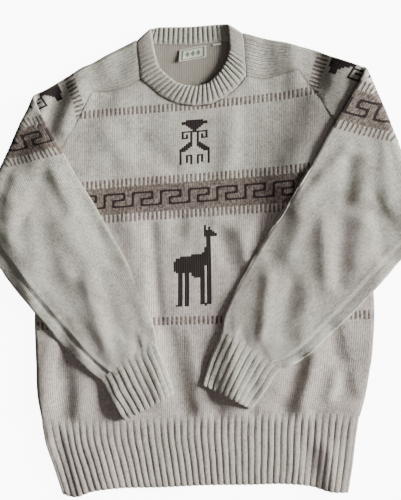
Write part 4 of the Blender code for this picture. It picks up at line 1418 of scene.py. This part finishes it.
def dyed(colour, ink, dark, in_band, heather, fibre):
    """Lays the taupe and dark yarns of the chart over the ground; in a band dark lies on taupe."""
    in_taupe = ((ink > 0.5) * (ink < 1.5)).sum("MAXIMUM", (ink > 1.5) * in_band)
    colour = (in_taupe * ((heather - 0.5) * 1.6 + 0.84).limit()).mix(colour, WOOL["taupe"])
    swollen = ((dark - 0.38 + (fibre - 0.5) * 0.2) * 7.0).limit() * in_band
    return swollen.sum("MAXIMUM", ink > 1.5).mix(colour, WOOL["dark"])


print("stitch bump", STITCH_BUMP / MM, "mm deep")

# %% [markdown]
# The wool of each piece.
# The material joins yarn, chart and stitches. Wool scatters light, so there is hardly any gloss, only
# a weak sheen from the fuzz. Each piece has its own seed, so that no streak repeats from one piece to
# the next, and its own tint, because the body is rosier than the sleeves.

# %% The wool of each piece
FINISH = {"Sheen Weight": 0.08, "Sheen Roughness": 0.6, "Specular IOR Level": 0.1}
PAINTED_GROOVE_SHADE = {"rib": 0.3, "knit": 0.42}       # how dark the painted shade in the grooves and seams is


def wool(name, slot, seed, rosy, fading, purl_and_shade):
    """The wool of one piece; only plain knit has a chart."""
    material, shader, start = new_material(name)
    wale, course = attribute(start, "wale"), attribute(start, "course")
    streaks = {key: noise(wale, course, STREAKS[key], seed) for key in STREAKS}
    heather, fibre = streaks["heather"], streaks["fibre"]
    colour = heathered(wale, course, streaks, seed, rosy, fading, purl_and_shade)
    # painted shade: the grooves of ribs and the seams are darkened in colour
    colour = (attribute(start, "groove").limit() * PAINTED_GROOVE_SHADE[slot]).mix(colour, WOOL["painted_shade"])
    if slot == "knit":
        ink, dark, in_band = (attribute(start, key) for key in ("ink", "dark", "band"))
        colour = dyed(colour, ink, dark, in_band, heather, fibre)
    stitch, column = stitch_form(wale, course)
    # painted shade: darker between the wales and in the low part of each stitch
    colour = (column * 0.30 + (1.0 - stitch) * 0.12).mix(colour, WOOL["painted_shade"])
    height = stitch * STITCH_SHARES[0] + fibre * STITCH_SHARES[1] - column * STITCH_SHARES[2]
    finish_material(material, colour, height, 0.75, STITCH_BUMP)
    material.node_tree.links.new(((fibre - 0.5) * 0.1 + 0.92).socket, shader.inputs["Roughness"])
    for key, value in FINISH.items():
        shader.inputs[key].default_value = value
    return material


PURL_AND_NECK_SHADE = 0.9                      # the back shows its inside: darker for its purl bumps, and painted darker as the shade inside the neck
for piece, node, slot, seed, rosy, fading in (
        (front, "front", "knit", 1, 0.9, 0.007), (back, "back", "knit", 2, 0.9, 0.007),
        (sleeve_left, "sleeve_left", "knit", 3, 0.1, 0.004),
        (sleeve_right, "sleeve_right", "knit", 4, 0.0, 0.004),
        (hem_front, "hem_front", "rib", 5, 0.5, 0.0), (hem_back, "hem_back", "rib", 6, 0.5, 0.0),
        (cuff_left, "cuff_left", "rib", 7, -0.2, 0.0), (cuff_right, "cuff_right", "rib", 8, -0.2, 0.0),
        (neckband, "neckband", "rib", 9, -0.2, 0.0)):
    purl_and_shade = PURL_AND_NECK_SHADE if piece is back else 0.0
    piece.data.materials.append(wool("wool_" + node, slot, seed, rosy, fading, purl_and_shade))
    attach(piece, "root")
    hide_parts(node)
    print(piece.name, "stands for", node)

# %% [markdown]
# The weave of label and tab.
# The label is woven much finer than the knit, so its threads are one wave with a weak bump. Its border
# and its diamonds are worked out from where a point is across and down the label. The tab is bare.

# %% The weave of label and tab
LABEL_GROUND = (0.66, 0.65, 0.53, 1)
LABEL_GREEN = (0.03, 0.10, 0.06, 1)
TAB_GROUND = (0.75, 0.74, 0.70, 1)
THREAD_SHADE = (0.2, 0.19, 0.15, 1)


def border_and_diamonds(across, down):
    """1 on the label's border line and on its three diamonds, 0 elsewhere."""
    from_middle = (down - 0.5).sum("ABSOLUTE")
    rim = ((across - 0.5).sum("ABSOLUTE") * 2.0).sum("MAXIMUM", from_middle * 2.0)
    border = (rim > 0.72) * (rim < 0.86)
    repeat = ((across * 5.0).sum("FRACT") - 0.5).sum("ABSOLUTE")
    diamonds = ((repeat + from_middle * 1.6) < 0.42) * (rim < 0.62)
    return border.sum("MAXIMUM", diamonds)


def woven(name, colour, line):
    """Smooth weave in one colour, with a border and diamonds where a line colour is given."""
    material, shader, start = new_material(name)
    across, down = attribute(start, "across"), attribute(start, "down")
    place = start.node("ShaderNodeCombineXYZ", X=across * 4.0, Y=down * 2.0)
    bands = {"wave_type": "BANDS", "bands_direction": "Y"}
    threads = start.node("ShaderNodeTexWave", bands, 1, Vector=place, Scale=14.0)
    if line:
        colour = (border_and_diamonds(across, down) * 0.85).mix(colour, line)
    colour = (threads * 0.12).mix(colour, THREAD_SHADE)
    finish_material(material, colour, threads, 0.3, 0.0002)
    shader.inputs["Roughness"].default_value = 0.55
    return material


label.data.materials.append(woven("woven_label", LABEL_GROUND, LABEL_GREEN))
tab.data.materials.append(woven("woven_tab", TAB_GROUND, None))
for piece, node in ((label, "label"), (tab, "size_tab")):
    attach(piece, "root")
    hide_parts(node)

# %% [markdown]
# Sheets.
# Every piece here is cloth, and the sleeves and cuffs are closed tubes.

# %% Sheets
print("eleven pieces of cloth")

# %% [markdown]
# The table.
# The sweater lies on a plain pale table. It glows, so that it stays white in the low light, but the
# glow is hidden from the wool. A second lamp for the table would have lit the wool as well.

# %% The table
TABLE_HALF = 3.0                # metres
TABLE_GLOW = 9.0
TABLE_UNDER = 0.0004            # metres; keeps the table's face apart from the cloth's


def add_object(name, data):
    """Puts a mesh, a lamp or a camera in the scene."""
    made = bpy.data.objects.new(name, data)
    bpy.context.scene.collection.objects.link(made)
    return made


def make_table():
    """The ground: one face, much larger than the picture."""
    mesh = bpy.data.meshes.new("table")
    corners = [(-TABLE_HALF, -TABLE_HALF), (TABLE_HALF, -TABLE_HALF), (TABLE_HALF, TABLE_HALF),
               (-TABLE_HALF, TABLE_HALF)]
    mesh.from_pydata([(x, y, 0) for x, y in corners], [], [(0, 1, 2, 3)])
    top = add_object("table", mesh)
    material, shader, _ = new_material("pale_table")
    shader.inputs["Base Color"].default_value = (0.9, 0.9, 0.9, 1)
    shader.inputs["Roughness"].default_value = 0.9
    shader.inputs["Emission Color"].default_value = (1, 1, 1, 1)
    shader.inputs["Emission Strength"].default_value = TABLE_GLOW
    mesh.materials.append(material)
    top.location.z = -TABLE_UNDER
    top.visible_diffuse = False
    top.visible_glossy = False
    print("table", 2 * TABLE_HALF, "m wide")


make_table()

# %% [markdown]
# The light.
# The light comes from low on the right, as from a large window some way off, so every rib and fold has
# a bright side and a soft-edged shadow to its left. A weak warm lamp over the hem and a faint pale
# room fill the shadows a little. A sun lamp does for the window, because its rays are all alike over
# the whole sweater, where a lamp close by would leave the left sleeve brighter than the right.

# %% The light
WINDOW_WAY = (1.0, 0.22)        # to the right and a little toward the neck
WINDOW_HEIGHT = 16.5            # degrees over the horizon
WINDOW_SPREAD = 26              # degrees; a wide window gives soft-edged shadows
WINDOW_STRENGTH = 12.2
LAMP_PLACE = (0.3, -0.7, 1.35)  # metres
LAMP_SIZE = 1.2
LAMP_POWER = 2.4
ROOM_STRENGTH = 0.1


def make_light(name, kind, power, colour, way):
    """A light that shines on the sweater from the given way."""
    data = bpy.data.lights.new(name, kind)
    data.energy = power
    data.color = colour
    light = add_object(name, data)
    light.rotation_euler = (-Vector(way)).to_track_quat("-Z", "Y").to_euler()
    return light


def make_window():
    """Light from a far window on the right."""
    way = np.array(WINDOW_WAY) / np.linalg.norm(WINDOW_WAY)
    up = np.tan(np.radians(WINDOW_HEIGHT))
    window = make_light("window", "SUN", WINDOW_STRENGTH, (0.985, 1.0, 0.96), (*way, up))
    window.data.angle = np.radians(WINDOW_SPREAD)


def make_lamp():
    """A weak warm lamp over the hem."""
    lamp = make_light("lamp", "AREA", LAMP_POWER, (1.0, 0.90, 0.88), LAMP_PLACE)
    lamp.data.size = LAMP_SIZE
    lamp.location = LAMP_PLACE


def make_room():
    """The faint light from all round."""
    world = bpy.data.worlds.new("room")
    bpy.context.scene.world = world
    world.use_nodes = True
    background = world.node_tree.nodes["Background"]
    background.inputs["Color"].default_value = (1.0, 0.96, 0.92, 1)
    background.inputs["Strength"].default_value = ROOM_STRENGTH


make_window()
make_lamp()
make_room()
print("window", WINDOW_HEIGHT, "degrees high and", WINDOW_SPREAD, "degrees wide")

# %% [markdown]
# The camera.
# The camera looks straight down from a good height, as in the photograph, and close enough that the
# frame cuts the outer corners of both sleeves.

# %% The camera
CAMERA_PLACE = (-0.003, 0.0154, 2.3)
FRAME_HEIGHT = 0.75             # metres seen from bottom to top
SENSOR = 36


def make_camera():
    """The camera; it points straight down without any turn."""
    data = bpy.data.cameras.new("camera")
    data.sensor_width = SENSOR
    data.lens = SENSOR * CAMERA_PLACE[2] / FRAME_HEIGHT
    camera = add_object("camera", data)
    camera.location = CAMERA_PLACE
    bpy.context.scene.camera = camera
    print("camera", CAMERA_PLACE, "lens", round(data.lens, 1))


make_camera()
